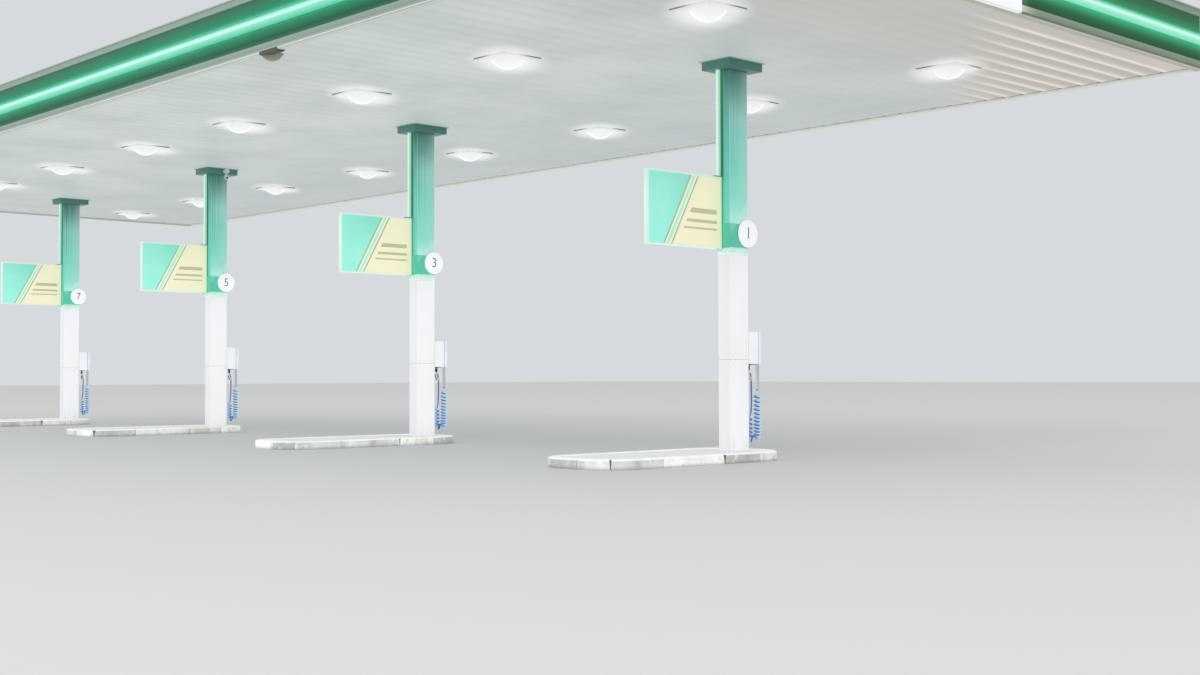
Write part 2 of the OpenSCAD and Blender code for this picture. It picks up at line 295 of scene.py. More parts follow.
def partsOf(number, parts):  # pieces of blocks that each column has: name, paint, slot, blocks, replaced node
    for name, paint, slotName, shapes, *stands in parts:
        blocks(f"{name}_{number}", shapes, paint, [f"{node}_{number}" for node in stands])


def roofRing(name, outlines, paint):  # a piece of outlines led round the roof
    bm = bmesh.new()
    for outline in outlines:
        aroundRoof(bm, outline)
    piece(name, bm, [paint])


def dress(node, paint):  # a better finish on a solid that stays
    nodes[node].data.materials.clear()
    nodes[node].data.materials.append(paint)


print("shaders and helpers ready")

# coiled hoses: a long coil hangs from the sleeve, turns at the foot and climbs back to the air gun
hose = {
    "diameter": 0.021, "turnRadius": 0.041, "stepsPerTurn": 20,
    "downAt": (0.06, 0.385), "upAt": (0.0, 0.28), "exitHeight": 0.862, "coilTop": 0.8, "lead": 0.035,
    "foot": 0.272, "upTop": 0.54, "dip": 0.03, "gunFoot": 0.985, "gunAt": (0.026, 0.306),
    # deep is painted shade on the back of the coil; tones are painted light and shade across the coil, pale
    # where lit and dark where shaded
    "downTurns": 11, "footTurns": 3, "upTurns": 5, "deep": (44, 88, 150),
    "view": (0.685, 0.728),  # the level direction across the photo
    "tones": ((-0.13, (150, 190, 236)), (-0.1, (176, 210, 248)), (-0.07, (140, 184, 236)),
              (-0.045, (50, 98, 164)), (-0.01, (56, 110, 184)), (0.01, (92, 148, 214)),
              (0.03, (136, 188, 240)), (0.05, (178, 218, 255))),
}


def bayX(paint):  # the distance along the canopy from the nearest column
    return (((paint.axis(0) - plan["firstColumn"]) / plan["bay"] + 0.5).calc("FRACT") - 0.5) * plan["bay"]


def hosePaint():
    paint = Paint("hoseBlue", coatWeight=0.3, coatRoughness=0.2)
    fine, x, y = paint.noise(90), bayX(paint), paint.axis(1) - hose["downAt"][1]
    first, second = hose["view"]
    # painted light and shade across the coil, pale on its lit side and dark on its shaded side
    paint.tone = paint.ramp(x * first + y * second, hose["tones"])
    paint.wash(fine.fade(0.5, 0.8) * 0.2, (150, 190, 236))
    # painted shade on the back half of the coil, away from the light
    behind = y * first - (x - hose["downAt"][0]) * second
    paint.wash(behind.fade(-0.004, 0.02) * 0.85, hose["deep"])
    weave = paint.noise(400)
    return paint.lit(0.4, 0.6, roughness=fine * 0.2 + 0.28, normal=paint.bump(weave, 0.15, 0.0004))


def hoseRoute(number):
    x = columnX(number)
    down, up = (Vector((x + at[0], at[1], 0)) for at in (hose["downAt"], hose["upAt"]))
    half = (up - down) / 2
    flat = half.normalized()  # across the U, level
    side = Vector((-flat.y, flat.x, 0))  # square to the U
    reach = half.length
    turns = hose["downTurns"] + hose["footTurns"] + hose["upTurns"]
    coil = []
    steps = turns * hose["stepsPerTurn"]
    for step in range(steps + 1):
        turn = step / hose["stepsPerTurn"]
        if turn <= hose["downTurns"]:
            share = turn / hose["downTurns"]
            share *= 1.2 - 0.2 * share  # the upper turns hang wider apart
            centre = down + Vector((0, 0, hose["coilTop"] + (hose["foot"] - hose["coilTop"]) * share))
            ahead = Vector((0, 0, -1))
        elif turn <= hose["downTurns"] + hose["footTurns"]:
            angle = math.pi * (turn - hose["downTurns"]) / hose["footTurns"]
            dip = Vector((0, 0, hose["foot"] - hose["dip"] * math.sin(angle)))
            centre = down + half - flat * reach * math.cos(angle) + dip
            ahead = (flat * math.sin(angle) + Vector((0, 0, -math.cos(angle)))).normalized()
        else:
            share = (turn - hose["downTurns"] - hose["footTurns"]) / hose["upTurns"]
            share *= 0.82 + 0.18 * share
            centre = up + Vector((0, 0, hose["foot"] + (hose["upTop"] - hose["foot"]) * share))
            ahead = Vector((0, 0, 1))
        angle = math.tau * turn
        way = math.cos(angle) * side + math.sin(angle) * ahead.cross(side)
        coil.append(centre + hose["turnRadius"] * way)
    exitPoint, lead = down + Vector((0, 0, hose["exitHeight"])), Vector((0, 0, hose["lead"]))
    gun = Vector((x + hose["gunAt"][0], hose["gunAt"][1], hose["gunFoot"]))
    wayIn, wayOut = ((b - a).normalized() * hose["lead"] for a, b in (coil[:2], coil[-2:]))
    fromSleeve = interpolate_bezier(exitPoint, exitPoint - lead, coil[0] - wayIn, coil[0], 14)
    toGun = interpolate_bezier(coil[-1], coil[-1] + wayOut, gun - lead * 4, gun, 24)
    return fromSleeve + coil[1:] + toGun[1:]


def makeHoses():
    finish = hosePaint()
    for number in columns:
        points = hoseRoute(number)
        curve = bpy.data.curves.new(f"hose{number}", "CURVE")
        curve.dimensions = "3D"
        curve.bevel_depth = hose["diameter"] / 2
        curve.bevel_resolution = 2
        curve.use_fill_caps = True
        spline = curve.splines.new("POLY")
        spline.points.add(len(points) - 1)
        for point, place in zip(spline.points, points):
            point.co = (*place, 1)
        curve.materials.append(finish)
        coil = bpy.data.objects.new(f"coiledHose_{number}", curve)
        bpy.context.scene.collection.objects.link(coil)
        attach(coil, "root")
        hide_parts(f"hose_coil_{number}")
        length = sum((b - a).length for a, b in zip(points, points[1:]))
        print("hose", number, "length", round(length, 2))


makeHoses()

# roof: ribbed sheet, kept from the solids, with its screws and flashings
roof = {
    "sheet": (168, 173, 174), "screwRows": (-4.2, -2.1, 0.0, 2.1, 4.2), "screw": 0.011, "screwDeep": 0.008,
    "ribPitch": 0.33, "ribTop": 5.606, "ribOffset": 0.165, "ribReach": 13.2, "flashing": (196, 202, 200),
    "flashingLine": ((-0.062, 5.63), (-0.062, 5.795), (-0.066, 5.795), (-0.066, 5.635), (-0.19, 5.622),
                     (-0.19, 5.618)),
    "copingLine": ((0.016, 5.802), (0.016, 5.786), (0.019, 5.786), (0.019, 5.806), (-0.072, 5.806),
                   (-0.072, 5.78), (-0.069, 5.78), (-0.069, 5.802)),
}


def roofPaint():
    paint = Paint("roofSheet", metallic=0.0)
    streak = paint.noise(1.2, 4, (1, 0.12, 1))
    spots = paint.noise(14, 5)
    paint.tone = paint.mix(streak.fade(0.35, 0.7), roof["sheet"], (138, 142, 140))
    paint.wash(spots.fade(0.6, 0.8) * 0.5, (112, 112, 104))
    return paint.set(baseColor=paint.tone, roughness=streak * 0.3 + 0.35,
                     normal=paint.bump(spots, 0.2, 0.002))


def makeRoof():
    dress("roof_sheet", roofPaint())
    metal = coated("galvanised", (150, 154, 154), 0.4, 0.6, 40)
    dress("roof_frame", metal)
    dress("posts", metal)
    bm = bmesh.new()
    count, deep = int(roof["ribReach"] / roof["ribPitch"]), roof["screwDeep"]
    for row in roof["screwRows"]:
        for rib in range(-count, count + 1, 2):
            place = (rib * roof["ribPitch"] + roof["ribOffset"], row, roof["ribTop"] + deep / 2)
            stud(bm, Matrix.Translation(place), roof["screw"], roof["screw"] * 0.8, deep)
    piece("roofScrews", bm, [metal])
    roofRing("roofFlashing", [roof["flashingLine"]], coated("flashing", roof["flashing"], 0.4))
    roofRing("copingCap", [roof["copingLine"]], coated("coping", (150, 166, 154), 0.4))


makeRoof()
print("roof ready")

# fascia: green panels lit by the tube between two pale bands
fascia = {
    # longBand and shortBand are one pale paint, given as lit and shaded copies for the long and the short
    # sides
    "longBand": (131, 150, 139), "shortBand": (122, 141, 121),
    # longLip and shortLip paint a highlight line and a shadow line across the folded foot
    "longLip": ((5.0045, (140, 148, 142)), (5.01, (140, 148, 142)), (5.013, (206, 214, 207)),
                (5.024, (206, 214, 207)), (5.029, (142, 152, 144)), (5.048, (138, 150, 142))),
    "shortLip": ((5.0045, (204, 202, 186)), (5.013, (208, 207, 190)), (5.018, (150, 150, 132)),
                 (5.022, (88, 96, 76)), (5.043, (90, 99, 78)), (5.048, (112, 124, 104))),
    # under, shortUnder and farUnder are lit and shaded copies of one underside paint
    "under": (204, 210, 202), "shortUnder": (188, 188, 172), "farUnder": (238, 238, 231),
    "lipLine": ((0.0105, 5.0045), (0.0138, 5.0045), (0.0138, 5.048), (0.0105, 5.048)),
    "footLine": ((0.012, 5.0045), (0.012, 5.002), (-0.0642, 5.002), (-0.0642, 5.023), (-0.0602, 5.023),
                 (-0.0602, 5.0045)),
    "grooveLine": ((0.01, 5.694), (0.0135, 5.694), (0.0135, 5.70), (0.01, 5.70)),
    "railHeights": (5.316, 5.475), "railDeep": 0.009, "rail": (60, 178, 132),
    "longPanel": 3.011, "shortPanel": 3.167, "seam": 0.0015, "lens": 1.506,
    "bandGlow": ((5.05, 5.12), (5.3, 5.5), (5.7, 5.8)),  # where it starts, passes to the upper band and ends
    # longTones and shortTones paint the tube's light on the green panels by height, pale near the tube and
    # shaded away from it
    "longTones": (  # height, colour
        (5.12, (62, 119, 95)), (5.18, (38, 98, 72)), (5.28, (46, 146, 105)), (5.325, (61, 177, 132)),
        (5.475, (92, 216, 177)), (5.52, (49, 159, 118)), (5.56, (48, 143, 104)), (5.705, (62, 111, 93))),
    "shortTones": (
        (5.12, (60, 97, 71)), (5.14, (45, 85, 55)), (5.22, (44, 110, 74)),
        (5.3, (62, 170, 119)), (5.325, (80, 214, 164)), (5.475, (84, 206, 161)),
        (5.5, (54, 152, 105)), (5.6, (55, 114, 78)), (5.705, (63, 99, 74))),
    "tubeTones": (
        (5.325, (81, 208, 162)), (5.36, (131, 234, 199)), (5.38, (146, 231, 205)), (5.402, (189, 249, 236)),
        (5.425, (198, 255, 244)), (5.447, (146, 237, 209)), (5.475, (112, 215, 178))),
    "shortTube": (
        (5.325, (87, 213, 167)), (5.34, (127, 239, 199)), (5.38, (170, 242, 218)),
        (5.4, (210, 255, 247)), (5.412, (208, 255, 246)), (5.422, (180, 248, 226)),
        (5.432, (142, 224, 194)), (5.447, (116, 213, 176)), (5.475, (104, 209, 166))),
}


def signSpill(paint, reach):  # 1 beside the lit end sign, 0 away from it
    low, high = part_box("end_sign_near")
    away = abs(paint.axis(1) - (low.y + high.y) / 2) - (high.y - low.y) / 2
    return (1 - (away / reach).clip()) ** 2.2


def fasciaPaint(name, axis, panel, tones):
    paint = Paint(name, specular=0.03)
    # painted light: the tube's glow on the panel, by height
    paint.tone = paint.ramp(paint.axis(2), tones)
    wide, fine = paint.noise(1.3, 3, (1, 1, 0.4)), paint.noise(45, 4)
    paint.wash(wide.fade(0.35, 0.75) * 0.12, (46, 92, 68))
    if axis == 1:
        paint.wash(signSpill(paint, 0.35) * 0.5, (170, 220, 196))
    seam = paint.seams(axis, panel, fascia["seam"])
    paint.wash(seam * 0.8, (24, 48, 36))
    return paint.lit(0.84, 0.1, roughness=fine * 0.15 + 0.38,
                     normal=paint.bump(fine * 0.2 - seam, 0.3, 0.0015))


def tubePaint(name, axis):
    paint = Paint(name, specular=0.12)
    paint.tone = paint.ramp(paint.axis(2), fascia["shortTube" if axis else "tubeTones"])
    cloud, joint = paint.noise(5, 2, (1, 1, 0.1)), paint.seams(axis, fascia["lens"], 0.002)
    paint.wash(cloud.fade(0.4, 0.7) * 0.1, (150, 240, 210))
    paint.wash(joint * 0.45, (70, 150, 116))
    return paint.lit(0.88, 0.06, roughness=cloud * 0.1 + 0.2, normal=paint.bump(1 - joint, 0.4, 0.002))


def bandPaint(name, colour, axis, panel):
    paint = Paint(name, specular=0.15)
    wide, fine = paint.noise(0.9, 4), paint.noise(60, 3)
    streak = paint.noise(9, 3, (1, 1, 0.08))
    paint.tone = paint.mix(wide.fade(0.35, 0.75) * 0.3, colour, shaded(colour, 0.92))
    paint.wash(streak.fade(0.55, 0.8) * 0.25, (118, 128, 116))
    z = paint.axis(2)
    start, middle, end = (z.fade(*heights) for heights in fascia["bandGlow"])
    glow = start * (1 - middle) + (1 - end) * middle
    paint.wash(glow * 0.3, (150, 186, 170))
    paint.wash((1 - z.fade(5.03, 5.06)) * 0.25, (110, 118, 110))
    seam = paint.seams(axis, panel, fascia["seam"])
    paint.wash(seam * 0.7, (60, 68, 60))
    if axis == 1:
        paint.wash(signSpill(paint, 0.55) * 0.95, (244, 240, 230))
    return paint.lit(0.2, 0.8, roughness=fine * 0.15 + 0.35,
                     normal=paint.bump(fine * 0.2 - seam, 0.25, 0.0012))


def lipPaint():  # the folded foot of the lower band, with a painted highlight line and a painted shadow line; its lines lie higher on the long sides
    paint = Paint("bandLip", roughness=0.35)
    z, grime = paint.axis(2), paint.noise(3, 4)
    longTone, shortTone = (paint.ramp(z, fascia[key]) for key in ("longLip", "shortLip"))
    end = plan["halfLength"] + 0.01
    paint.tone = paint.mix(abs(paint.axis(0)).fade(end, end + 0.002), longTone, shortTone)
    paint.wash(grime.fade(0.4, 0.75) * 0.2, (160, 164, 154))
    return paint.lit(0.3, 0.6)


def footPaint():  # the underside of the fascia, painted lighter along the back and darker at the short ends as light and shade
    paint = Paint("bandFoot", roughness=0.4)
    paint.tone = paint.mix(paint.axis(1).fade(4.6, 4.66), fascia["under"], fascia["farUnder"])
    paint.wash(abs(paint.axis(0)).fade(13.45, 13.5), fascia["shortUnder"])
    paint.wash(paint.noise(3, 4).fade(0.4, 0.75) * 0.15, (170, 174, 164))
    return paint.lit(0.34, 0.6)


def makeFascia():
    for kind, pair, axis in (("Long", ("front", "back"), 0), ("Short", ("near", "far"), 1)):
        panel, band, tones = (fascia[kind.lower() + part] for part in ("Panel", "Band", "Tones"))
        green = fasciaPaint("fasciaGreen" + kind, axis, panel, tones)
        tube, pale = tubePaint("tubeLens" + kind, axis), bandPaint("paleBand" + kind, band, axis, panel)
        for side in pair:
            dress(f"fascia_{side}", green)
            dress(f"light_tube_{side}", tube)
            dress(f"pale_bands_{side}", pale)
    deep = fascia["railDeep"]
    rails = [((0.0, z), (deep, z), (deep, z + deep), (0.0, z + deep)) for z in fascia["railHeights"]]
    roofRing("tubeRails", rails, coated("tubeRail", fascia["rail"], 0.4))  # slim rails that hold the lens
    roofRing("bandLip", [fascia["lipLine"]], lipPaint())
    roofRing("bandFoot", [fascia["footLine"]], footPaint())
    roofRing("bandGroove", [fascia["grooveLine"]], coated("bandGroove", (112, 130, 118), 0.6))
    for name, end in (("near", 1), ("far", -1)):
        makeEndSign(name, end)


def makeEndSign(name, end):
    low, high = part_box(f"end_sign_{name}")
    case, sheet = Paint("endSignCase", roughness=0.3), Paint("endSignSheet")
    case.tone = case.mix(case.noise(2).fade(0.3, 0.8), (240, 244, 243), (226, 232, 230))
    case.lit(0.7, 0.25)
    cloud = sheet.noise(1.4)
    sheet.tone = sheet.mix(cloud.fade(0.3, 0.8), (250, 251, 252), (240, 244, 246))
    sheet.lit(0.8, 0.15, roughness=cloud * 0.1 + 0.2)
    blocks(f"endSignCase_{name}", [(low, high, 0.006)], case.material, [f"end_sign_{name}"])
    face, edge = high.x if end > 0 else low.x, 0.012
    inner, outer = sorted((face - end * 0.004, face + end * 0.005))
    plate = ((inner, low.y + edge, low.z + edge), (outer, high.y - edge, high.z - edge), 0.003)
    blocks(f"endSignSheet_{name}", [plate], sheet.material)


makeFascia()
print("fascia ready")

# soffit: planks across the roof, a trim round them, lamps and the dome
soffit = {
    "plank": 0.295, "first": 13.11, "slope": 0.09, "step": 0.012, "half": 13.49, "reach": 4.69,
    "farEnd": -13.36, "drop": 0.006, "pale": (202, 208, 206), "grey": (187, 194, 192),
    "cool": (184, 192, 192), "warm": (188, 187, 181), "diagonal": 0.7071,
    "back": (198, 192, 182), "pink": (212, 202, 193), "lit": (244, 244, 245),
    "glowAcross": 0.32, "glowAlong": 0.58, "glowBeyond": 0.15,
    "lines": (  # painted highlight and shade across a plank, from its beaded edge to the next one
        (0.0, (218, 211, 201)), (0.1, (238, 231, 221)), (0.16, (238, 231, 221)), (0.25, (216, 210, 200)),
        (0.35, (205, 199, 190)), (0.5, (196, 191, 182)), (0.65, (190, 185, 176)), (0.8, (190, 185, 176)),
        (0.9, (196, 190, 181)), (0.96, (206, 200, 190)), (1.0, (218, 211, 201))),
}
lamp = {
    "side": 0.6, "thick": 0.028, "lens": 0.205, "drop": 0.115, "aside": 1.7, "across": 2.3,
    "rim": (  # out from the lens, and height
        (-0.012, 0.002), (0.016, 0.002), (0.016, -0.006), (0.011, -0.01), (-0.001, -0.01),
        (-0.012, -0.004), (-0.012, 0.002)),
}


def lampDistance(paint):  # from the nearest lamp's middle: on the slant beside it, and on the other slant
    x, y = bayX(paint), paint.axis(1)
    # lamps stand on both sides of a column and of the row, so the distance is mirrored about both
    aside = x - x.calc("SIGN") * lamp["aside"]
    across = y - y.calc("SIGN") * lamp["across"]
    return (aside + across) * soffit["diagonal"], (aside - across) * soffit["diagonal"]


def lampGlow(paint):  # 1 in the middle of a lamp, 0 away from it; it reaches further behind the lamp
    beside, ahead = lampDistance(paint)
    beside, ahead = beside / soffit["glowAcross"], (ahead + soffit["glowBeyond"]) / soffit["glowAlong"]
    return (1 - ((beside * beside + ahead * ahead) ** 0.5).fade(0.55, 1.8)) ** 0.95


def soffitPaint():
    paint = Paint("soffitPlanks", specular=0.3)
    x, y = paint.axis(0), paint.axis(1)
    share = ((x - soffit["first"]) / soffit["plank"]).calc("FRACT")  # 0 on a plank's beaded edge
    cloud, fine = paint.noise(0.6, 3), paint.noise(60)
    sheen = (x + y * 0.72).fade(12.9, 14.2)  # the near corner, where the planks catch the light
    lines = sheen * (1 - x.fade(13.19, 13.24))
    paint.tone = paint.mix(cloud.fade(0.3, 0.75), soffit["pale"], soffit["grey"])
    # painted tint of the light across the soffit: cooler and darker towards the back, warmer and darker at
    # the near end
    paint.wash(y.fade(-2.5, 3) * (1 - x.fade(8, 12)) * 0.6, soffit["cool"])
    paint.wash(x.fade(9.5, 12.8) * 0.85, soffit["warm"])
    paint.wash(sheen * 0.8, paint.mix(y.fade(2.4, 4.4), soffit["back"], soffit["pink"]))
    # painted highlight and shade on each plank near the corner
    paint.wash(lines, paint.ramp(share, soffit["lines"]))
    front = 1 - y.fade(-3.6, -0.6)
    # a painted highlight along each plank's bead
    paint.wash((1 - share.fade(0.02, 0.045)) * (1 - sheen) * 0.08, (248, 242, 232))
    shadow = share.fade(0.45, 0.9) * (1 - share.fade(0.9, 1))
    paint.wash(shadow * (1 - sheen) * front * 0.11, (160, 168, 166))
    paint.wash(lampGlow(paint), soffit["lit"])
    return paint.lit(0.72 - sheen * 0.1, sheen * 0.1 + 0.28, roughness=fine * 0.15 + 0.35,
                     normal=paint.bump(fine, 0.05, 0.0005))


def makeSoffit():
    half, reach, step, z = soffit["half"], soffit["reach"], soffit["step"], plan["soffit"]
    ridges = [soffit["first"] - index * soffit["plank"] for index in range(100)]
    ridges = [-half] + sorted(ridge for ridge in ridges if ridge > soffit["farEnd"]) + [half]
    bm = bmesh.new()
    for a, b in zip(ridges, ridges[1:]):
        foot = b if b == half else b - soffit["slope"]
        bead = [(a, -0.001), (a + 0.002, -0.003), (a + 0.009, -0.003), (a + 0.013, 0)]
        outline = [(a, step)] + bead + [(foot, 0), (b - 0.001, step - 0.0005), (b - 0.001, step)]
        if a == -half:
            outline[1:5] = [(a, 0)]
        if b == half:
            outline[-3:-1] = [(b, 0)]
        extrudeOutline(bm, [(px, -reach, z + pz) for px, pz in outline], (0, 2 * reach, 0))
    block(bm, (-half, -reach, z + step), (half, reach, z + 0.03))
    piece("soffitPlanks", bm, [soffitPaint()], ["soffit"], smooth=20)
    trim = Paint("trimWhite", roughness=0.35)
    grime = trim.noise(4, 4)
    trim.tone = trim.mix(grime.fade(0.4, 0.75), (222, 223, 216), (204, 204, 196))
    trim.lit(0.35, 0.5)
    low, high = z - soffit["drop"], z + step
    line = [(-0.0605, high), (-0.0605, low + 0.002), (-0.063, low), (-0.097, low), (-0.1, low + 0.002),
            (-0.1, high)]
    roofRing("soffitTrim", [line], trim.material)
    line = [(-0.1, z + 0.004), (-0.1, z - 0.0025), (-0.109, z - 0.0025), (-0.109, z + 0.004)]
    roofRing("trimSeam", [line], coated("seamDark", (132, 131, 122), 0.6))


def coverTone(paint):
    paint.tone = paint.mix(paint.noise(8).fade(0.3, 0.8), (206, 213, 209), (198, 206, 202))
    paint.wash(lampGlow(paint), soffit["lit"])


def lampPaint():  # a shell with painted shade on its upper edge, drowned in the middle by the lamp's own light
    paint = Paint("lampShell", specular=0.3)
    beside, _ = lampDistance(paint)
    coverTone(paint)
    # painted shade in the gap under the soffit, on the shell's sides
    upper = paint.axis(2).fade(plan["soffit"] - 0.017, plan["soffit"] - 0.013)
    paint.wash(upper * abs(beside).fade(0.14, 0.34), (112, 122, 117))
    return paint.lit(0.5, 0.5, roughness=paint.noise(9) * 0.1 + 0.3)


def coverPaint():
    paint = Paint("lampCover", specular=0.3)
    coverTone(paint)
    return paint.lit(0.6, 0.4, roughness=paint.noise(9) * 0.1 + 0.25)


def lensPaint():
    paint = Paint("lampLens")
    beside, ahead = lampDistance(paint)
    radius = (beside * beside + ahead * ahead) ** 0.5
    ribs = (radius * 420).calc("SINE")
    paint.tone = paint.mix(radius.fade(0.14, lamp["lens"]) * 0.6, (243, 243, 245), (234, 237, 239))
    return paint.lit(0.96, 0.02, roughness=ribs * 0.03 + 0.12, normal=paint.bump(ribs, 0.25, 0.002))


def makeLamps():
    bodies, covers, lenses, screws = (bmesh.new() for _ in range(4))
    half, radius, drop, top = lamp["side"] / 2, lamp["lens"], lamp["drop"], plan["soffit"]
    low = top - lamp["thick"]
    cap, inner, screwAt = radius - 0.004, half - 0.004, half - 0.04
    ball = (cap * cap + drop * drop) / (2 * drop)
    bowl = [(0, 0.004), (cap, 0.004)] + bowlArc(ball, ball - drop, math.asin(cap / ball), 12)
    rim = [(radius + out, height) for out, height in lamp["rim"]]
    corners = ((-1, -1), (-1, 1), (1, -1), (1, 1))
    for number in columns:
        for sx, sy in corners:
            x, y = columnX(number) + sx * lamp["aside"], sy * lamp["across"]
            foot = Matrix.Translation((x, y, low))
            roundBlock(bodies, (x - half, y - half, low + 0.003), (x + half, y + half, top), 0.003, 2)
            roundBlock(covers, (x - inner, y - inner, low), (x + inner, y + inner, low + 0.004), 0.002)
            spin(covers, rim, foot)
            spin(lenses, bowl, foot)
            for cx, cy in corners:
                place = Matrix.Translation((cx * screwAt, cy * screwAt, -0.001))
                stud(screws, foot @ place, 0.006, 0.007, 0.004, 8)
    piece("lampBodies", bodies, [lampPaint()], ["downlights"])
    piece("lampCovers", covers, [coverPaint()])
    piece("lampLenses", lenses, [lensPaint()], smooth=60)
    piece("lampScrews", screws, [coated("lampScrew", (150, 156, 152), 0.4, metallic=0.5)])


# ring is the colour of the dark plate by the dome: a mounting plate, darkened as painted shadow of the
# fascia's lip
dome = {"radius": 0.155, "middle": 0.085, "aside": 3.45, "inside": 0.145, "plateFrom": 3.47, "plateTo": 3.06,
        "plateLow": 4.988, "plateHigh": 5.03, "cap": (142, 144, 114), "ring": (40, 52, 34)}


def merge(bm, part, matrix):  # a part placed into a mesh
    bmesh.ops.transform(part, matrix=matrix, verts=part.verts)
    bmesh.ops.recalc_face_normals(part, faces=part.faces)
    mesh = bpy.data.meshes.new("part")
    part.to_mesh(mesh)
    part.free()
    bm.from_mesh(mesh)
    bpy.data.meshes.remove(mesh)


def spin(bm, outline, matrix, segments=40):  # an outline of (radius, height) from pole to pole, spun round Z
    part = bmesh.new()
    verts = [part.verts.new((radius, 0, height)) for radius, height in outline]
    edges = [part.edges.new(pair) for pair in zip(verts, verts[1:])]
    bmesh.ops.spin(part, geom=verts + edges, cent=(0, 0, 0), axis=(0, 0, 1), angle=math.tau, steps=segments,
                   use_merge=True)
    bmesh.ops.remove_doubles(part, verts=part.verts, dist=1e-6)
    merge(bm, part, matrix)


def bowlArc(radius, middle, edge, steps):  # (radius, height) from an angle on a ball down to its pole
    angles = [edge * (1 - index / steps) for index in range(steps)]
    return [(radius * math.sin(a), middle - radius * math.cos(a)) for a in angles] + [(0, middle - radius)]


def makeDome():
    place = (columnX(1) - dome["aside"], -plan["halfWidth"] + dome["inside"], plan["foot"])
    r, middle, top = dome["radius"], dome["middle"], plan["soffit"] - plan["foot"]
    outline = [(0, top)] + bowlArc(r, middle, math.acos((middle - top) / r), 16)
    bm = bmesh.new()
    spin(bm, outline, Matrix.Translation(place))
    finish = coated("domeCap", dome["cap"], 0.4, 0.5, 25, coat=0.3)
    piece("domeCap", bm, [finish], ["soffit_fittings"])
    # a dark plate along the fascia's foot by the dome: a mounting plate, darkened as painted shadow of the
    # lip
    plate = ((columnX(1) - dome["plateFrom"], -plan["halfWidth"] - 0.018, dome["plateLow"]),
             (columnX(1) - dome["plateTo"], -plan["halfWidth"] + 0.09, dome["plateHigh"]), 0.006, 1)
    blocks("domeShadowPlate", [plate], coated("domeShadowPlate", dome["ring"], 0.5))


head = {"column": 3, "size": 0.095, "y": 0.05, "clear": 0.007, "tilt": 125, "white": (206, 222, 212),
        "glass": (46, 56, 52)}


def makeHeadCamera():  # a round base on the collar, and a ball with a dark window under it
    d, half, window = head["size"], head["size"] / 2, head["size"] / 2 + 0.001
    face = columnX(head["column"]) + column["halfX"] + column["collarOut"]
    z = plan["soffit"] - head["clear"] - half
    base = placed((face, head["y"], z), math.pi / 2)
    bm = bmesh.new()
    drum = [(0, 0), (half, 0), (half, d - 0.012), (half - 0.004, d - 0.004), (half - 0.012, d), (0, d)]
    spin(bm, drum, base)
    low = z - d - 2 * head["clear"]
    neck = Matrix.Translation((face + half, head["y"], low))
    spin(bm, [(0, d * 0.3), (d * 0.25, d * 0.3), (d * 0.25, z - low), (0, z - low)], neck, 24)
    angles = [math.radians(angle) for angle in range(80, -89, -8)]
    spin(bm, [(0, half)] + [(half * math.cos(a), half * math.sin(a)) for a in angles] + [(0, -half)], neck)
    shell = coated("cameraShell", head["white"], 0.35, 0.3, coat=0.2)
    piece("headCamera", bm, [shell], ["head_camera"])
    bm = bmesh.new()
    angles = [math.radians(angle) for angle in range(28, 0, -4)]
    arc = [(window * math.sin(a), window * math.cos(a)) for a in angles]
    look = neck @ Matrix.Rotation(math.radians(head["tilt"]), 4, "Y")
    spin(bm, [(0, d * 0.3), (arc[0][0], d * 0.3)] + arc + [(0, window)], look, 24)
    for angle in range(0, 360, 90):
        turned = base @ Matrix.Rotation(math.radians(angle), 4, "Z") @ Matrix.Translation((d * 0.34, 0, d))
        stud(bm, turned, 0.004, 0.003, 0.003)
    piece("cameraWindow", bm, [coated("cameraGlass", head["glass"], 0.12, 0.2, coat=0.6)])


makeSoffit()
makeLamps()
makeDome()
print("soffit ready")

# columns: white below, green above, with their fittings
column = {
    "halfX": 0.1, "halfY": 0.18, "corner": 0.014, "foot": 0.11, "seam": 1.255, "split": 2.57,
    "ringTop": 2.66, "signSide": (-0.176, -0.172),  # where the side towards the sign panel ends
    "wrapLow": 2.67, "wrapHigh": 2.97, "top": 4.92, "collarOut": 0.135, "flange": 0.03, "rail": -0.05,
    "stripHalf": 0.02, "stripOut": 0.056, "stripLow": 3.558,
    # tones and sideTones are painted light and shade by height, brightest over the wrap and darkest under the
    # collar; sideTones is the copy for the side towards the sign
    "tones": (
        (2.97, (188, 250, 238)), (3.06, (174, 244, 230)), (3.2, (154, 234, 218)), (3.6, (137, 226, 207)),
        (4.0, (138, 217, 204)), (4.3, (146, 212, 204)), (4.45, (134, 194, 185)), (4.6, (112, 168, 160)),
        (4.8, (84, 139, 130)), (4.92, (72, 124, 114))),
    "sideTones": (
        (2.97, (118, 224, 202)), (3.3, (106, 221, 196)), (3.7, (103, 210, 192)), (4.0, (97, 200, 181)),
        (4.3, (106, 186, 173)), (4.6, (100, 164, 155)), (4.8, (78, 136, 122)), (4.92, (68, 120, 106))),
    "darkLines": ((-0.135, 0.6), (-0.09, 0.4), (-0.02, 0.25)), "collar": (77, 122, 114),
    "edge": (62, 106, 94), "wrap": (98, 222, 190), "ring": (210, 242, 228), "white": (246, 246, 249),
    "stripCore": (220, 255, 238), "stripFace": (170, 228, 198),
}


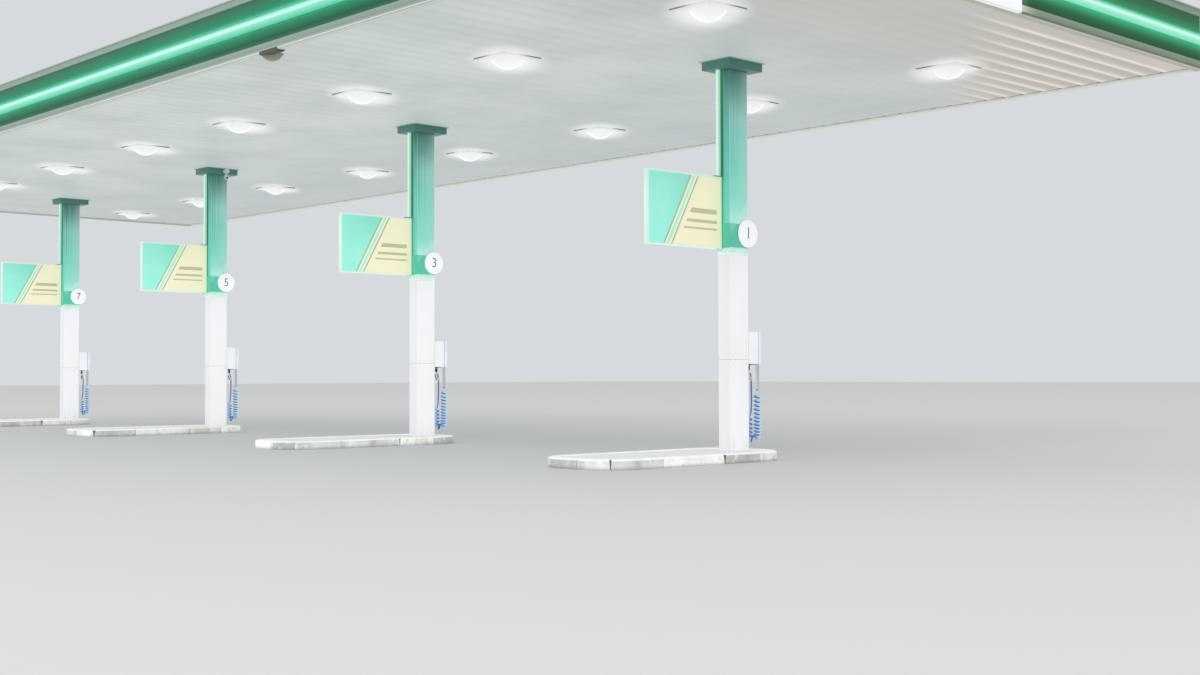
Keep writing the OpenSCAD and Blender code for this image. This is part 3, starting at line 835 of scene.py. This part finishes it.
def columnPaint():
    paint = Paint("columnGreen", coatWeight=0.15, coatRoughness=0.15, specular=0.3)
    y, z = paint.axis(1), paint.axis(2)
    streak, wide = paint.noise(30, 2, (1, 1, 0.02)), paint.noise(2.2, 3, (1, 1, 0.5))
    paint.tone = paint.ramp(z, column["tones"])
    # painted reflections: pale streaks down the glossy cladding
    paint.wash(streak.fade(0.5, 0.8) * 0.2, (176, 232, 216))
    paint.wash(wide.fade(0.45, 0.8) * 0.15, (86, 160, 140))
    # painted light: lighter towards the +Y side, and a painted highlight on the rounded corner
    paint.wash(y.fade(-0.02, 0.14) * 0.22, (196, 216, 212))
    paint.wash(y.fade(0.155, 0.172) * 0.6, (206, 244, 232))
    # a painted reflection just above the wrap
    paintedReflection = (y + 0.068 - (z - 2.97) * 0.66).fade(0, 0.035) * (1 - z.fade(3.1, 3.3)) * streak.fade(0.3, 0.6)
    paint.wash(paintedReflection * 0.55, (214, 248, 238))
    # painted dark reflection lines down the upper face
    for place, share in column["darkLines"]:
        line = (1 - abs(y - place).fade(0.004, 0.014)) * z.fade(3.3, 4.3) * streak.fade(0.2, 0.6)
        paint.wash(line * share, (48, 104, 90))
    # the side towards the sign takes its own painted light and shade
    paint.wash(1 - y.fade(*column["signSide"]), paint.ramp(z, column["sideTones"]))
    return paint.lit(0.28, 0.84, roughness=streak * 0.15 + 0.22,
                     normal=paint.bump(paint.noise(80), 0.05, 0.0005))


def whitePaint(name="columnWhite", colour=column["white"]):
    paint = Paint(name, coatWeight=0.15, coatRoughness=0.2, specular=0.3)
    y, z = paint.axis(1), paint.axis(2)
    wide, streak = paint.noise(1.5, 4), paint.noise(18, 3, (1, 1, 0.05))
    dirt = (1 - z.fade(0.11, 0.42)) * streak.fade(0.4, 0.75) * 0.22
    paint.tone = paint.mix(wide.fade(0.4, 0.8) * 0.4, colour, shaded(colour, 0.972))
    paint.wash(streak.fade(0.6, 0.85) * 0.2, (226, 227, 232))
    paint.wash(dirt, (186, 182, 174))
    # painted shade on the rounded back corner, which turns away from the light
    edge = y.fade(0.17, 0.176) * (1 - y.fade(0.181, 0.184)) * abs(bayX(paint)).fade(0.086, 0.093)
    paint.wash(edge * 0.7, (128, 138, 150))
    # painted shade: the side towards the sign is dimmed
    paint.wash((1 - y.fade(*column["signSide"])) * 0.5, (216, 217, 222))
    # the surface's own light rises with height, painted lighter higher up
    return paint.lit(z.fade(0.4, 2.4) * 0.1 + 0.23, 0.84, roughness=streak * 0.15 + 0.25,
                     normal=paint.bump(paint.noise(70), 0.06, 0.0005))


def collarPaint():
    paint = Paint("collarGreen", specular=0.3)
    y, wide, fine = paint.axis(1), paint.noise(2.5, 4), paint.noise(70)
    paint.tone = paint.mix(wide.fade(0.35, 0.75) * 0.4, column["collar"], shaded(column["collar"], 0.9))
    # painted light: the collar's side towards the sign is lighter
    outside = paint.axis(2).fade(column["top"] + 0.004, column["top"] + 0.008)
    paint.wash((1 - y.fade(-0.314, -0.31)) * outside * 0.5, (90, 138, 128))
    return paint.lit(0.35, 0.62, roughness=fine * 0.15 + 0.28, normal=paint.bump(fine, 0.1, 0.0006))


def wrapPaint():  # the field round the disc, with a painted reflection as a lighter corner
    paint = Paint("wrapGreen", coatWeight=0.2, specular=0.3)
    y, z, wide, fine = paint.axis(1), paint.axis(2), paint.noise(1.4, 4), paint.noise(70)
    paint.tone = paint.mix(wide.fade(0.4, 0.75) * 0.4, column["wrap"], shaded(column["wrap"], 0.9))
    # a painted reflection on the corner towards the sign
    corner = (z - 2.83 - (y + 0.165) * 1.18).fade(0, 0.02) * y.fade(*column["signSide"])
    paint.wash(corner * 0.5, (150, 236, 214))
    return paint.lit(0.12, 0.9, roughness=fine * 0.15 + 0.22, normal=paint.bump(fine, 0.1, 0.0006))


def stripPaint():
    paint = Paint("stripLens", specular=0.3)
    y = paint.axis(1)
    paint.tone = paint.mix(1 - y.fade(-0.2345, -0.222), column["stripFace"], column["stripCore"])
    cloud = paint.noise(6, 2, (1, 1, 0.2))
    paint.wash(cloud.fade(0.4, 0.7) * 0.25, (190, 246, 216))
    return paint.lit(0.7, 0.3, roughness=cloud * 0.1 + 0.15)


def ringPaint():
    ring = Paint("ringLens", specular=0.3)
    z, cloud, spots = ring.axis(2), ring.noise(9), ring.noise(38, 3)
    ring.tone = ring.mix(1 - z.fade(2.585, 2.62), column["ring"], (238, 248, 243))
    ring.wash(cloud.fade(0.4, 0.75) * 0.5, (206, 234, 222))
    ring.wash(spots.fade(0.5, 0.7) * 0.5, (172, 216, 198))
    return ring.lit(0.44, 0.7, roughness=cloud * 0.1 + 0.25)


def tower(x, grow, low, high, corner=None):  # a block of the column's section, its upright edges rounded
    hx, hy = column["halfX"] + grow, column["halfY"] + grow
    return (x - hx, -hy, low), (x + hx, hy, high), corner or column["corner"], 2, 3


def makeColumns():
    green, white, strip, ring = columnPaint(), whitePaint(), stripPaint(), ringPaint()
    collar, wrap = collarPaint(), wrapPaint()
    edge = coated("collarEdge", column["edge"], 0.5)
    # the flange glows a little: painted light
    flange = coated("collarFlange", (126, 166, 156), 0.4, own=0.2)
    # groove is the channel's dark green, darkened as painted shade of the gap beside the strip
    seam, groove = coated("columnSeam", (120, 124, 122), 0.6), coated("channelShadeGreen", (60, 138, 110), 0.5)
    # bead is a pale line beside the channel: a painted reflection
    bead = coated("railBead", (132, 220, 180), 0.35)
    steel = coated("screwSteel", (150, 156, 154), 0.3, metallic=0.6)
    hy, half, out, top = column["halfY"], column["stripHalf"], column["collarOut"], column["top"]
    beadLow = column["wrapHigh"] + 0.01
    low, wide, joint = column["stripLow"] + 0.004, out + column["flange"], column["seam"]
    for number in columns:
        x = columnX(number)
        rail = x + column["rail"]
        # dark green blocks beside the strip: its channel, darkened as painted shade of the gap
        channel = [((rail + start, -hy - 0.012, low), (rail + end, -hy + 0.002, top))
                   for start, end in ((-half - 0.014, -half - 0.001), (half + 0.001, half + 0.031))]
        partsOf(number, (
            ("greenCladding", green, "column_green", [tower(x, 0, column["ringTop"], top + 0.002)],
             "upper_cladding"),
            # the collar and its flange are rounded on all edges
            ("collar", collar, "column_green", [tower(x, out, top, plan["soffit"] - 0.006, 0.004)[:3]]),
            ("collarFlange", flange, "column_green",
             [tower(x, wide, plan["soffit"] - 0.008, plan["soffit"], 0.002)[:3]]),
            ("collarSeal", edge, "column_green", [tower(x, 0.003, top - 0.008, top)]),
            ("numberWrap", wrap, "column_green",
             [tower(x, 0.008, column["wrapLow"], column["wrapHigh"], 0.016)]),
            ("lightStrip", strip, "light_tube",
             [((rail - half, -hy - column["stripOut"], low), (rail + half, -hy + 0.002, top), 0.006, 2)]),
            ("stripChannel", groove, "column_green", channel),
            # a pale bead on the face towards the sign: a painted reflection line
            ("railBead", bead, "column_green",
             [((x + 0.006, -hy - 0.006, beadLow), (x + 0.018, -hy + 0.002, top), 0.003, 2)]),
            ("whiteCladding", white, "column_white",
             [tower(x, 0, joint + 0.0015, column["split"]), tower(x, 0, column["foot"], joint - 0.0015)],
             "lower_cladding"),
            ("claddingSeam", seam, "column_white",
             [tower(x, -0.004, joint - 0.01, joint + 0.01),
              tower(x, -0.004, column["ringTop"] - 0.004, column["wrapLow"] + 0.004)]),
            ("jointRing", ring, "light_tube",
             [tower(x, 0.002, column["split"] + 0.003, column["ringTop"] - 0.002, 0.012)]),
        ))
        bm = bmesh.new()
        for s in (-1, 1):
            for y in (-0.12, 0.12):
                for z in (0.16, joint - 0.05, joint + 0.05, column["split"] - 0.05):
                    place = (x + s * (column["halfX"] + 0.001), y, z)
                    stud(bm, placed(place, math.pi / 2), 0.005, 0.005, 0.004, 10)
        piece(f"claddingScrews_{number}", bm, [steel])


makeColumns()
makeHeadCamera()
print("columns ready")

# sign panels: a lit sheet with a plain slanted pattern, in a pale frame
sign = {
    "mint": (157, 248, 229), "deepMint": (131, 229, 206), "cream": (252, 247, 211), "line": (150, 186, 150),
    "frame": (226, 252, 240), "slant": 0.38, "start": 0.2,
}


def signPaint():
    paint = Paint("signSheet")
    y, z = paint.axis(1), paint.axis(2)
    low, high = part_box("sign_panel_1")
    u = (y - low.y) / (high.y - low.y)
    v = (z - low.z) / (high.z - low.z)
    cut = u - v * sign["slant"] - sign["start"]  # 0 along the slanted border
    mint = paint.mix((u * 0.7 + v * 0.5).fade(0.2, 1.1), sign["mint"], sign["deepMint"])
    paint.tone = paint.mix(cut.fade(-0.004, 0.004), mint, sign["cream"])
    stripes = ((0.0, 0.007, sign["line"]), (0.05, 0.014, sign["mint"]), (0.10, 0.007, sign["line"]))
    for centre, width, colour in stripes:
        paint.wash(1 - abs(cut - centre).fade(width, width + 0.004), colour)
    for level, tilt in ((0.5, 0.03), (0.36, 0.018), (0.26, 0.01)):  # three plain level bars
        bar = (1 - abs(v - level).fade(tilt, tilt + 0.006)) * cut.fade(0.17, 0.176)
        bar = bar * (1 - u.fade(0.92, 0.926))
        paint.wash(bar * 0.75, (168, 172, 128))
    cloud = paint.noise(3)
    paint.wash(cloud.fade(0.4, 0.8) * 0.12, (255, 255, 240))
    rim = (1 - v.fade(0.03, 0.05) + v.fade(0.955, 0.975) + u.fade(0.965, 0.98)).clip()
    paint.wash(rim * 0.3, (206, 246, 226))
    return paint.lit(0.5, 0.58, roughness=cloud * 0.1 + 0.2)


def makeSigns():
    sheet, edge = signPaint(), Paint("signFrame")
    cloud = edge.noise(3)
    edge.tone = edge.mix(cloud.fade(0.3, 0.8) * 0.5, sign["frame"], (208, 244, 226))
    edge.lit(0.6, 0.4, roughness=cloud * 0.1 + 0.2)
    steel, lug = coated("bracketGreen", (128, 176, 156), 0.4), coated("signLug", (232, 240, 234), 0.3)
    # a dark strip in the gap between the sign and the column: painted shade
    dark = coated("signGap", (40, 78, 60), 0.6)
    for number in columns:
        low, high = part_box(f"sign_panel_{number}")
        foot, bottom = (low.x, high.y, low.z), (high.x, high.y, low.z)  # lower ends of the edge by the column
        hook = ((low.x + high.x) / 2, high.y, high.z)
        sheets = [(shifted((face, low.y, low.z), -0.002, 0.02, 0.012),
                   shifted((face, high.y, high.z), 0.002, -0.008, -0.02), 0.001) for face in (low.x, high.x)]
        partsOf(number, (
            ("signFrame", edge.material, "sign_sheet", [(low, high, 0.006)], "sign_panel"),
            ("signSheet", sheet, "sign_sheet", sheets),
            ("signGap", dark, "column_green",
             [(shifted(foot, -0.001, -0.004, 0.004), shifted(high, 0.001, 0.006, -0.004), 0.001)]),
            ("signBracket", steel, "column_green",
             [(shifted(hook, -0.03, -0.13, -0.001), shifted(hook, 0.055, 0.008, 0.012), 0.003),
              (shifted(hook, -0.03, -0.004, -0.05), shifted(hook, 0.06, 0.008, 0.03), 0.003)]),
            ("signLug", lug, "sign_sheet",
             [(shifted(foot, 0.004, -0.11, -0.028), shifted(bottom, 0.01, -0.02, 0.002), 0.008, None, 3)]),
        ))


# number discs: a white disc on each face, with its number
disc = {"radius": 0.175, "thick": 0.036, "rim": 0.006, "y": 0.135, "z": 2.853, "face": 0.108, "digit": 0.215,
        "white": (245, 245, 248), "ink": (104, 108, 114), "back": (62, 84, 78)}


def digitMesh(text, matrix):
    curve = bpy.data.curves.new("digit", "FONT")
    curve.body = text
    curve.size = disc["digit"]
    curve.align_x, curve.align_y = "CENTER", "CENTER"
    curve.extrude = 0.0015
    curve.offset = -0.002
    curve.resolution_u = 6
    made = bpy.data.objects.new("digit", curve)
    bpy.context.scene.collection.objects.link(made)
    bpy.context.view_layer.update()
    mesh = bpy.data.meshes.new_from_object(made)
    bpy.data.objects.remove(made)
    mesh.transform(matrix)
    return mesh


def makeDiscs():
    # the disc glows a little: painted light
    white = coated("discWhite", disc["white"], 0.25, 0.05, coat=0.3, own=0.3)
    ink, back = coated("discInk", disc["ink"], 0.4), coated("discBack", disc["back"], 0.5)
    r, thick, rim = disc["radius"], disc["thick"], disc["rim"]
    outline = [(0, 0.008), (r - 0.004, 0.008), (r, 0.012), (r, thick - rim),
               (r - rim * 0.3, thick - rim * 0.3), (r - rim, thick), (0, thick)]
    for number in columns:
        faces, rims, digits = (bmesh.new() for _ in range(3))
        for s in (-1, 1):
            place = Vector((columnX(number) + s * disc["face"], disc["y"], disc["z"]))
            turned = placed(place, s * math.pi / 2)
            spin(faces, outline, turned, 64)
            spin(rims, [(0, 0), (r - 0.008, 0), (r - 0.008, 0.01), (0, 0.01)], turned, 48)
            stand = placed(place + Vector((s * (thick + 0.0005), 0, 0)), s * math.pi / 2, "Z")
            label = str(2 * number - 1 if s > 0 else 2 * number)
            mesh = digitMesh(label, stand @ Matrix.Rotation(math.pi / 2, 4, "X"))
            digits.from_mesh(mesh)
            bpy.data.meshes.remove(mesh)
        piece(f"numberDisc_{number}", faces, [white], [f"number_discs_{number}"])
        piece(f"discBack_{number}", rims, [back])
        piece(f"discNumber_{number}", digits, [ink])


makeSigns()
makeDiscs()
print("signs ready")

# service side: air box, sleeve, holder and air gun
box = {
    "halfX": 0.095, "out": 0.255, "low": 1.2, "high": 1.61, "frontDeep": 0.06,
    "white": (246, 246, 249), "front": (230, 234, 250), "sleeve": (216, 220, 226),
    "sleeveLine": ((0, 0.872), (0.021, 0.872), (0.025, 0.877), (0.025, 1.186), (0.027, 1.188),
                   (0.027, 1.204), (0, 1.204)),  # radius, height
    "glandLine": ((0, 0.862), (0.0125, 0.862), (0.016, 0.866), (0.019, 0.88), (0, 0.88)),
    "gunTurn": 150, "gunRest": 1.13,
    "gunLine": ((0, 0), (0.012, 0), (0.017, 0.006), (0.0205, 0.02), (0.0195, 0.038), (0.014, 0.052),
                (0.0145, 0.08), (0.018, 0.096), (0.0165, 0.112), (0.01, 0.126), (0.009, 0.146), (0, 0.146)),
    "gunTrim": (  # low and high corners of the lever, its guard and the hook
        ((0.012, -0.006, 0.088), (0.044, 0.006, 0.099)), ((0.035, -0.008, 0.018), (0.044, 0.008, 0.097)),
        ((0.012, -0.006, 0.016), (0.042, 0.006, 0.026)), ((-0.022, -0.005, 0.05), (-0.013, 0.005, 0.1))),
}


def boxFrontPaint():
    front = Paint("boxFront", specular=0.4)
    cloud, dots = front.noise(6), front.noise(70, 1)
    front.tone = front.mix(cloud.fade(0.3, 0.8), box["front"], (242, 244, 250))
    front.wash(dots.fade(0.62, 0.7) * 0.3, (176, 192, 236))
    return front.lit(0.22, 0.9, roughness=cloud * 0.1 + 0.25)


def sleevePaint():  # a pale tube with a darker line down each side
    paint = Paint("sleeveGrey", specular=0.4)
    aside, cloud = abs(bayX(paint) - hose["downAt"][0]), paint.noise(14, 3, (1, 1, 0.3))
    paint.tone = paint.mix(aside.fade(0.006, 0.022), box["sleeve"], (176, 182, 192))
    paint.wash(cloud.fade(0.4, 0.75) * 0.3, (190, 206, 226))
    return paint.lit(0.2, 0.8, roughness=cloud * 0.1 + 0.3)


def airGun(bm, foot, top, trim):  # a turned body, and in trim its lever in a guard, leant from foot to top
    body, part = bmesh.new(), bmesh.new()
    spin(body, box["gunLine"], Matrix(), 24)
    for low, high in box["gunTrim"]:
        roundBlock(part, low, high, 0.003)
    lean = (top - foot).to_track_quat("Z", "X").to_matrix().to_4x4()
    lean = Matrix.Translation(foot) @ lean @ Matrix.Rotation(math.radians(box["gunTurn"]), 4, "Z")
    merge(bm, body, lean)
    merge(trim, part, lean)


def makeBoxes():
    white, front = whitePaint("boxWhite", box["white"]), boxFrontPaint()
    # one dark finish for the rubber gland, the gun's holder parts and the painted shadow plate under the box
    sleeve, dark = sleevePaint(), coated("rubberAndShadeDark", (40, 44, 52), 0.5)
    seamBlue = coated("boxSeam", (150, 166, 214), 0.5)
    steel = coated("gunSteel", (196, 200, 206), 0.22, 0.2, metallic=0.6)
    y, half, low, high = column["halfY"], box["halfX"], box["low"], box["high"]
    split, inner = y + box["out"] - box["frontDeep"], half - 0.004
    for number in columns:
        x = columnX(number)
        partsOf(number, (
            ("airBox", white, "box_white", [((x - half, y, low), (x + half, split - 0.002, high), 0.008)],
             "service_box"),
            ("airBoxFront", front, "box_white",
             [((x - half, split, low), (x + half, y + box["out"], high), 0.016, None, 3)]),
            ("airBoxSeam", seamBlue, "box_white",
             [((x - inner, split - 0.006, low + 0.004), (x + inner, split + 0.006, high - 0.004), 0.002)]),
        ))
        place = Matrix.Translation((x + hose["downAt"][0], hose["downAt"][1], 0))
        for name, line, steps, paint, slotName in (("hoseSleeve", "sleeveLine", 24, sleeve, "box_white"),
                                                   ("sleeveGland", "glandLine", 20, dark, "hose_blue")):
            bm = bmesh.new()
            spin(bm, box[line], place, steps)
            piece(f"{name}_{number}", bm, [paint])
        gun = Vector((x + hose["gunAt"][0], hose["gunAt"][1], hose["gunFoot"]))
        rest = Vector((x + hose["upAt"][0], hose["upAt"][1], box["gunRest"]))
        bm, trim = bmesh.new(), bmesh.new()
        airGun(bm, gun, rest, trim)
        rest.z = 0
        roundBlock(bm, rest + Vector((-0.02, -0.02, 1.176)), rest + Vector((0.03, 0.02, 1.192)), 0.004)
        piece(f"airGun_{number}", bm, [steel])
        roundBlock(trim, rest + Vector((-0.016, -0.016, 1.122)), rest + Vector((0.016, 0.016, 1.178)), 0.005)
        # a dark plate under the box: painted shadow under the box
        roundBlock(trim, (x - 0.08, y + 0.012, 1.192), (x + 0.08, y + 0.15, 1.202), 0.002)
        piece(f"gunHolder_{number}", trim, [dark])


makeBoxes()

# islands: kerb stones with joints round a worn infill
island = {"edge": 0.02, "stone": (220, 220, 217), "dark": (198, 197, 194), "top": (240, 242, 241),
          "infill": (222, 225, 223), "shades": (0.98, 0.84, 1.08, 0.94),
          "wear": (0, 0, 0.03, 0, 0.012, 0), "kerb": 0.13, "bed": 0.011,
          "joints": (0.21, 0.86, 1.5, 2.55, 3.3, 3.74, 4.33, 5.1, 5.9, 6.7, 7.5), "jointHalf": 0.004,
          "stoneSteps": 9, "cornerSteps": 12,
          "front": -2.8, "back": 0.35, "half": 0.65, "corner": 0.45, "height": 0.12}


def concretePaint(name, infill=False, shade=1.0):
    paint = Paint(name, specular=0.25)
    wide, grain, spots = paint.noise(1.6, 5), paint.noise(45, 5), paint.noise(160, 3)
    z, high, stains = paint.axis(2), island["height"], paint.noise(3.2, 6, (1, 1, 0.35), 0.7)
    patches = paint.noise(9, 4, (1, 1, 0.8), 0.65)
    stone, dark = (shaded(island[key], shade) for key in ("stone", "dark"))
    paint.tone = paint.mix(wide.fade(0.3, 0.75), stone, dark)
    paint.wash(stains.fade(0.5, 0.72) * 0.4, (150, 147, 140))
    paint.wash(stains.fade(0.46, 0.3) * 0.5, (232, 231, 226))
    paint.wash(patches.fade(0.54, 0.68) * 0.4, (152, 149, 143))
    paint.wash((1 - patches.fade(0.34, 0.44)) * 0.6, (230, 230, 226))
    top = paint.mix(wide.fade(0.4, 0.8) * 0.6, island["infill" if infill else "top"], (216, 215, 210))
    paint.wash(z.fade(high - 0.024, high - 0.012), top)
    paint.wash(grain.fade(0.5, 0.85) * 0.25, (244, 243, 239))
    paint.wash(spots.fade(0.62, 0.8) * 0.3, (140, 136, 128))
    # painted shade along the kerb's foot
    paint.wash((1 - z.fade(0.0, 0.022)) * 0.45, (112, 109, 102))
    return paint.lit(0.14, 1.0, roughness=grain * 0.2 + 0.65,
                     normal=paint.bump(grain * 0.7 + spots * 0.3, 0.45, 0.004))


def kerbRoute():  # the kerb's outer line and the way out of it, clockwise from the end of the back
    line, half, r, steps = [], island["half"], island["corner"], island["cornerSteps"]
    flat = half - r
    corners = ((flat, island["back"] - r, 90), (flat, island["front"] + r, 0),
               (-flat, island["front"] + r, -90), (-flat, island["back"] - r, -180))
    for cx, cy, start in corners:
        for index in range(steps + 1):
            angle = math.radians(start - 90 * index / steps)
            way = Vector((math.cos(angle), math.sin(angle), 0))
            line.append((Vector((cx, cy, 0)) + way * r, way))
    return line


def pointAlong(line, distance):
    for (a, wayA), (b, wayB) in zip(line, line[1:] + line[:1]):
        gap = (b - a).length
        if distance <= gap:
            share = distance / gap
            return a.lerp(b, share), wayA.lerp(wayB, share).normalized()
        distance -= gap
    return line[0]


def kerbStone(bm, line, around, ends, wear, section, shift):  # one stone, its ends worn and closed
    loops, gap, steps, (start, end) = [], island["jointHalf"], island["stoneSteps"], ends
    for k in range(steps + 1):
        loop = []
        for out, z in section:
            worn = [gap + share * (z / island["height"]) ** 2 for share in wear]
            low, high = start + (worn[0] if k == 0 else 0), end - (worn[1] if k == steps else 0)
            spot, way = pointAlong(line, ((high - low) * k / steps + low) % around)
            loop.append(bm.verts.new(shift + spot + way * out + Vector((0, 0, z))))
        loops.append(loop)
    loopEdges = [[bm.edges.new(pair) for pair in zip(ring, ring[1:] + ring[:1])] for ring in loops]
    faces = []
    for first, second in zip(loopEdges, loopEdges[1:]):
        faces += bmesh.ops.bridge_loops(bm, edges=first + second)["faces"]
    for loop in (loops[0], loops[-1]):
        faces += bmesh.ops.contextual_create(bm, geom=loop)["faces"]
    return faces


def makeIslands():
    stones = [concretePaint(f"kerbStone{index}", shade=shade) for index, shade in enumerate(island["shades"])]
    mortar, bed = coated("kerbJoint", (112, 109, 102), 0.8, 0.6), concretePaint("islandInfill", True)
    line = kerbRoute()
    around = sum((b - a).length for (a, _), (b, _) in zip(line, line[1:] + line[:1]))
    deep, high, edge, joints = island["kerb"], island["height"], island["edge"], island["joints"]
    section = [(0, 0), (0, high - edge), (-edge * 0.3, high - edge * 0.3), (-edge, high),
               (-deep + 0.006, high), (-deep, high - 0.006), (-deep, 0)]
    for number in columns:
        shift = Vector((columnX(number), 0, 0))
        bm = bmesh.new()
        for index, ends in enumerate(zip(joints, joints[1:] + (joints[0] + around,))):
            wear = [island["wear"][(index + k + (number - 1) * 2) % len(island["wear"])] for k in range(2)]
            for face in kerbStone(bm, line, around, ends, wear, section, shift):
                face.material_index = (index + number - 1) % len(stones)
        piece(f"kerbStones_{number}", bm, stones, [f"island_{number}"])
        for name, inset, top, paint in (("kerbJoint", 0.006, high - 0.014, mortar),
                                        ("islandInfill", deep - 0.004, high - island["bed"], bed)):
            bm = bmesh.new()
            outline = [shift + spot - way * inset for spot, way in line]
            extrudeOutline(bm, outline, (0, 0, top))
            piece(f"{name}_{number}", bm, [paint])


makeIslands()
print("islands ready")

# setting: pale floor, even sky and soft lamps
setting = {
    "floor": (204, 206, 206), "sky": (214, 218, 221), "skyLight": 0.9,
    "lamps": (  # name, place, target, size, power
        ("keyLight", (30, -30, 26), (2, 0, 2), 16, 5200), ("fillLight", (-26, -24, 14), (-2, 0, 3), 14, 1500),
        ("upLight", (0, 0, 0.03), (0, 0, 5), 22, 260)),
}


def makeSetting():
    scene = bpy.context.scene
    scene.view_settings.view_transform = "Standard"
    world = bpy.data.worlds.new("studio")
    scene.world = world
    world.use_nodes = True
    tree = world.node_tree
    tree.nodes.clear()
    output = tree.nodes.new("ShaderNodeOutputWorld")
    mixer = tree.nodes.new("ShaderNodeMixShader")
    rays = tree.nodes.new("ShaderNodeLightPath")
    seen, light = (tree.nodes.new("ShaderNodeBackground") for _ in range(2))
    seen.inputs["Color"].default_value = screen(*setting["sky"])
    light.inputs["Color"].default_value = (1, 1, 1, 1)
    light.inputs["Strength"].default_value = setting["skyLight"]
    tree.links.new(rays.outputs["Is Camera Ray"], mixer.inputs[0])
    tree.links.new(light.outputs[0], mixer.inputs[1])
    tree.links.new(seen.outputs[0], mixer.inputs[2])
    tree.links.new(mixer.outputs[0], output.inputs[0])
    bm = bmesh.new()
    bmesh.ops.create_grid(bm, x_segments=1, y_segments=1, size=150)
    mesh = bpy.data.meshes.new("floor")
    bm.to_mesh(mesh)
    bm.free()
    paint = Paint("floor", roughness=0.8)
    paint.set(baseColor=screen(*setting["floor"]))
    mesh.materials.append(paint.material)
    floor = bpy.data.objects.new("floor", mesh)
    scene.collection.objects.link(floor)
    for name, place, target, size, power in setting["lamps"]:
        data = bpy.data.lights.new(name, "AREA")
        data.size = size
        data.energy = power
        if name == "upLight":
            data.shape, data.size_y = "RECTANGLE", 8
        lightObject = bpy.data.objects.new(name, data)
        aim = Vector(target) - Vector(place)
        turn = aim.to_track_quat("-Z", "Y").to_matrix().to_4x4()
        lightObject.matrix_world = Matrix.Translation(place) @ turn
        lightObject.visible_camera = False
        scene.collection.objects.link(lightObject)


makeSetting()
print("setting ready")
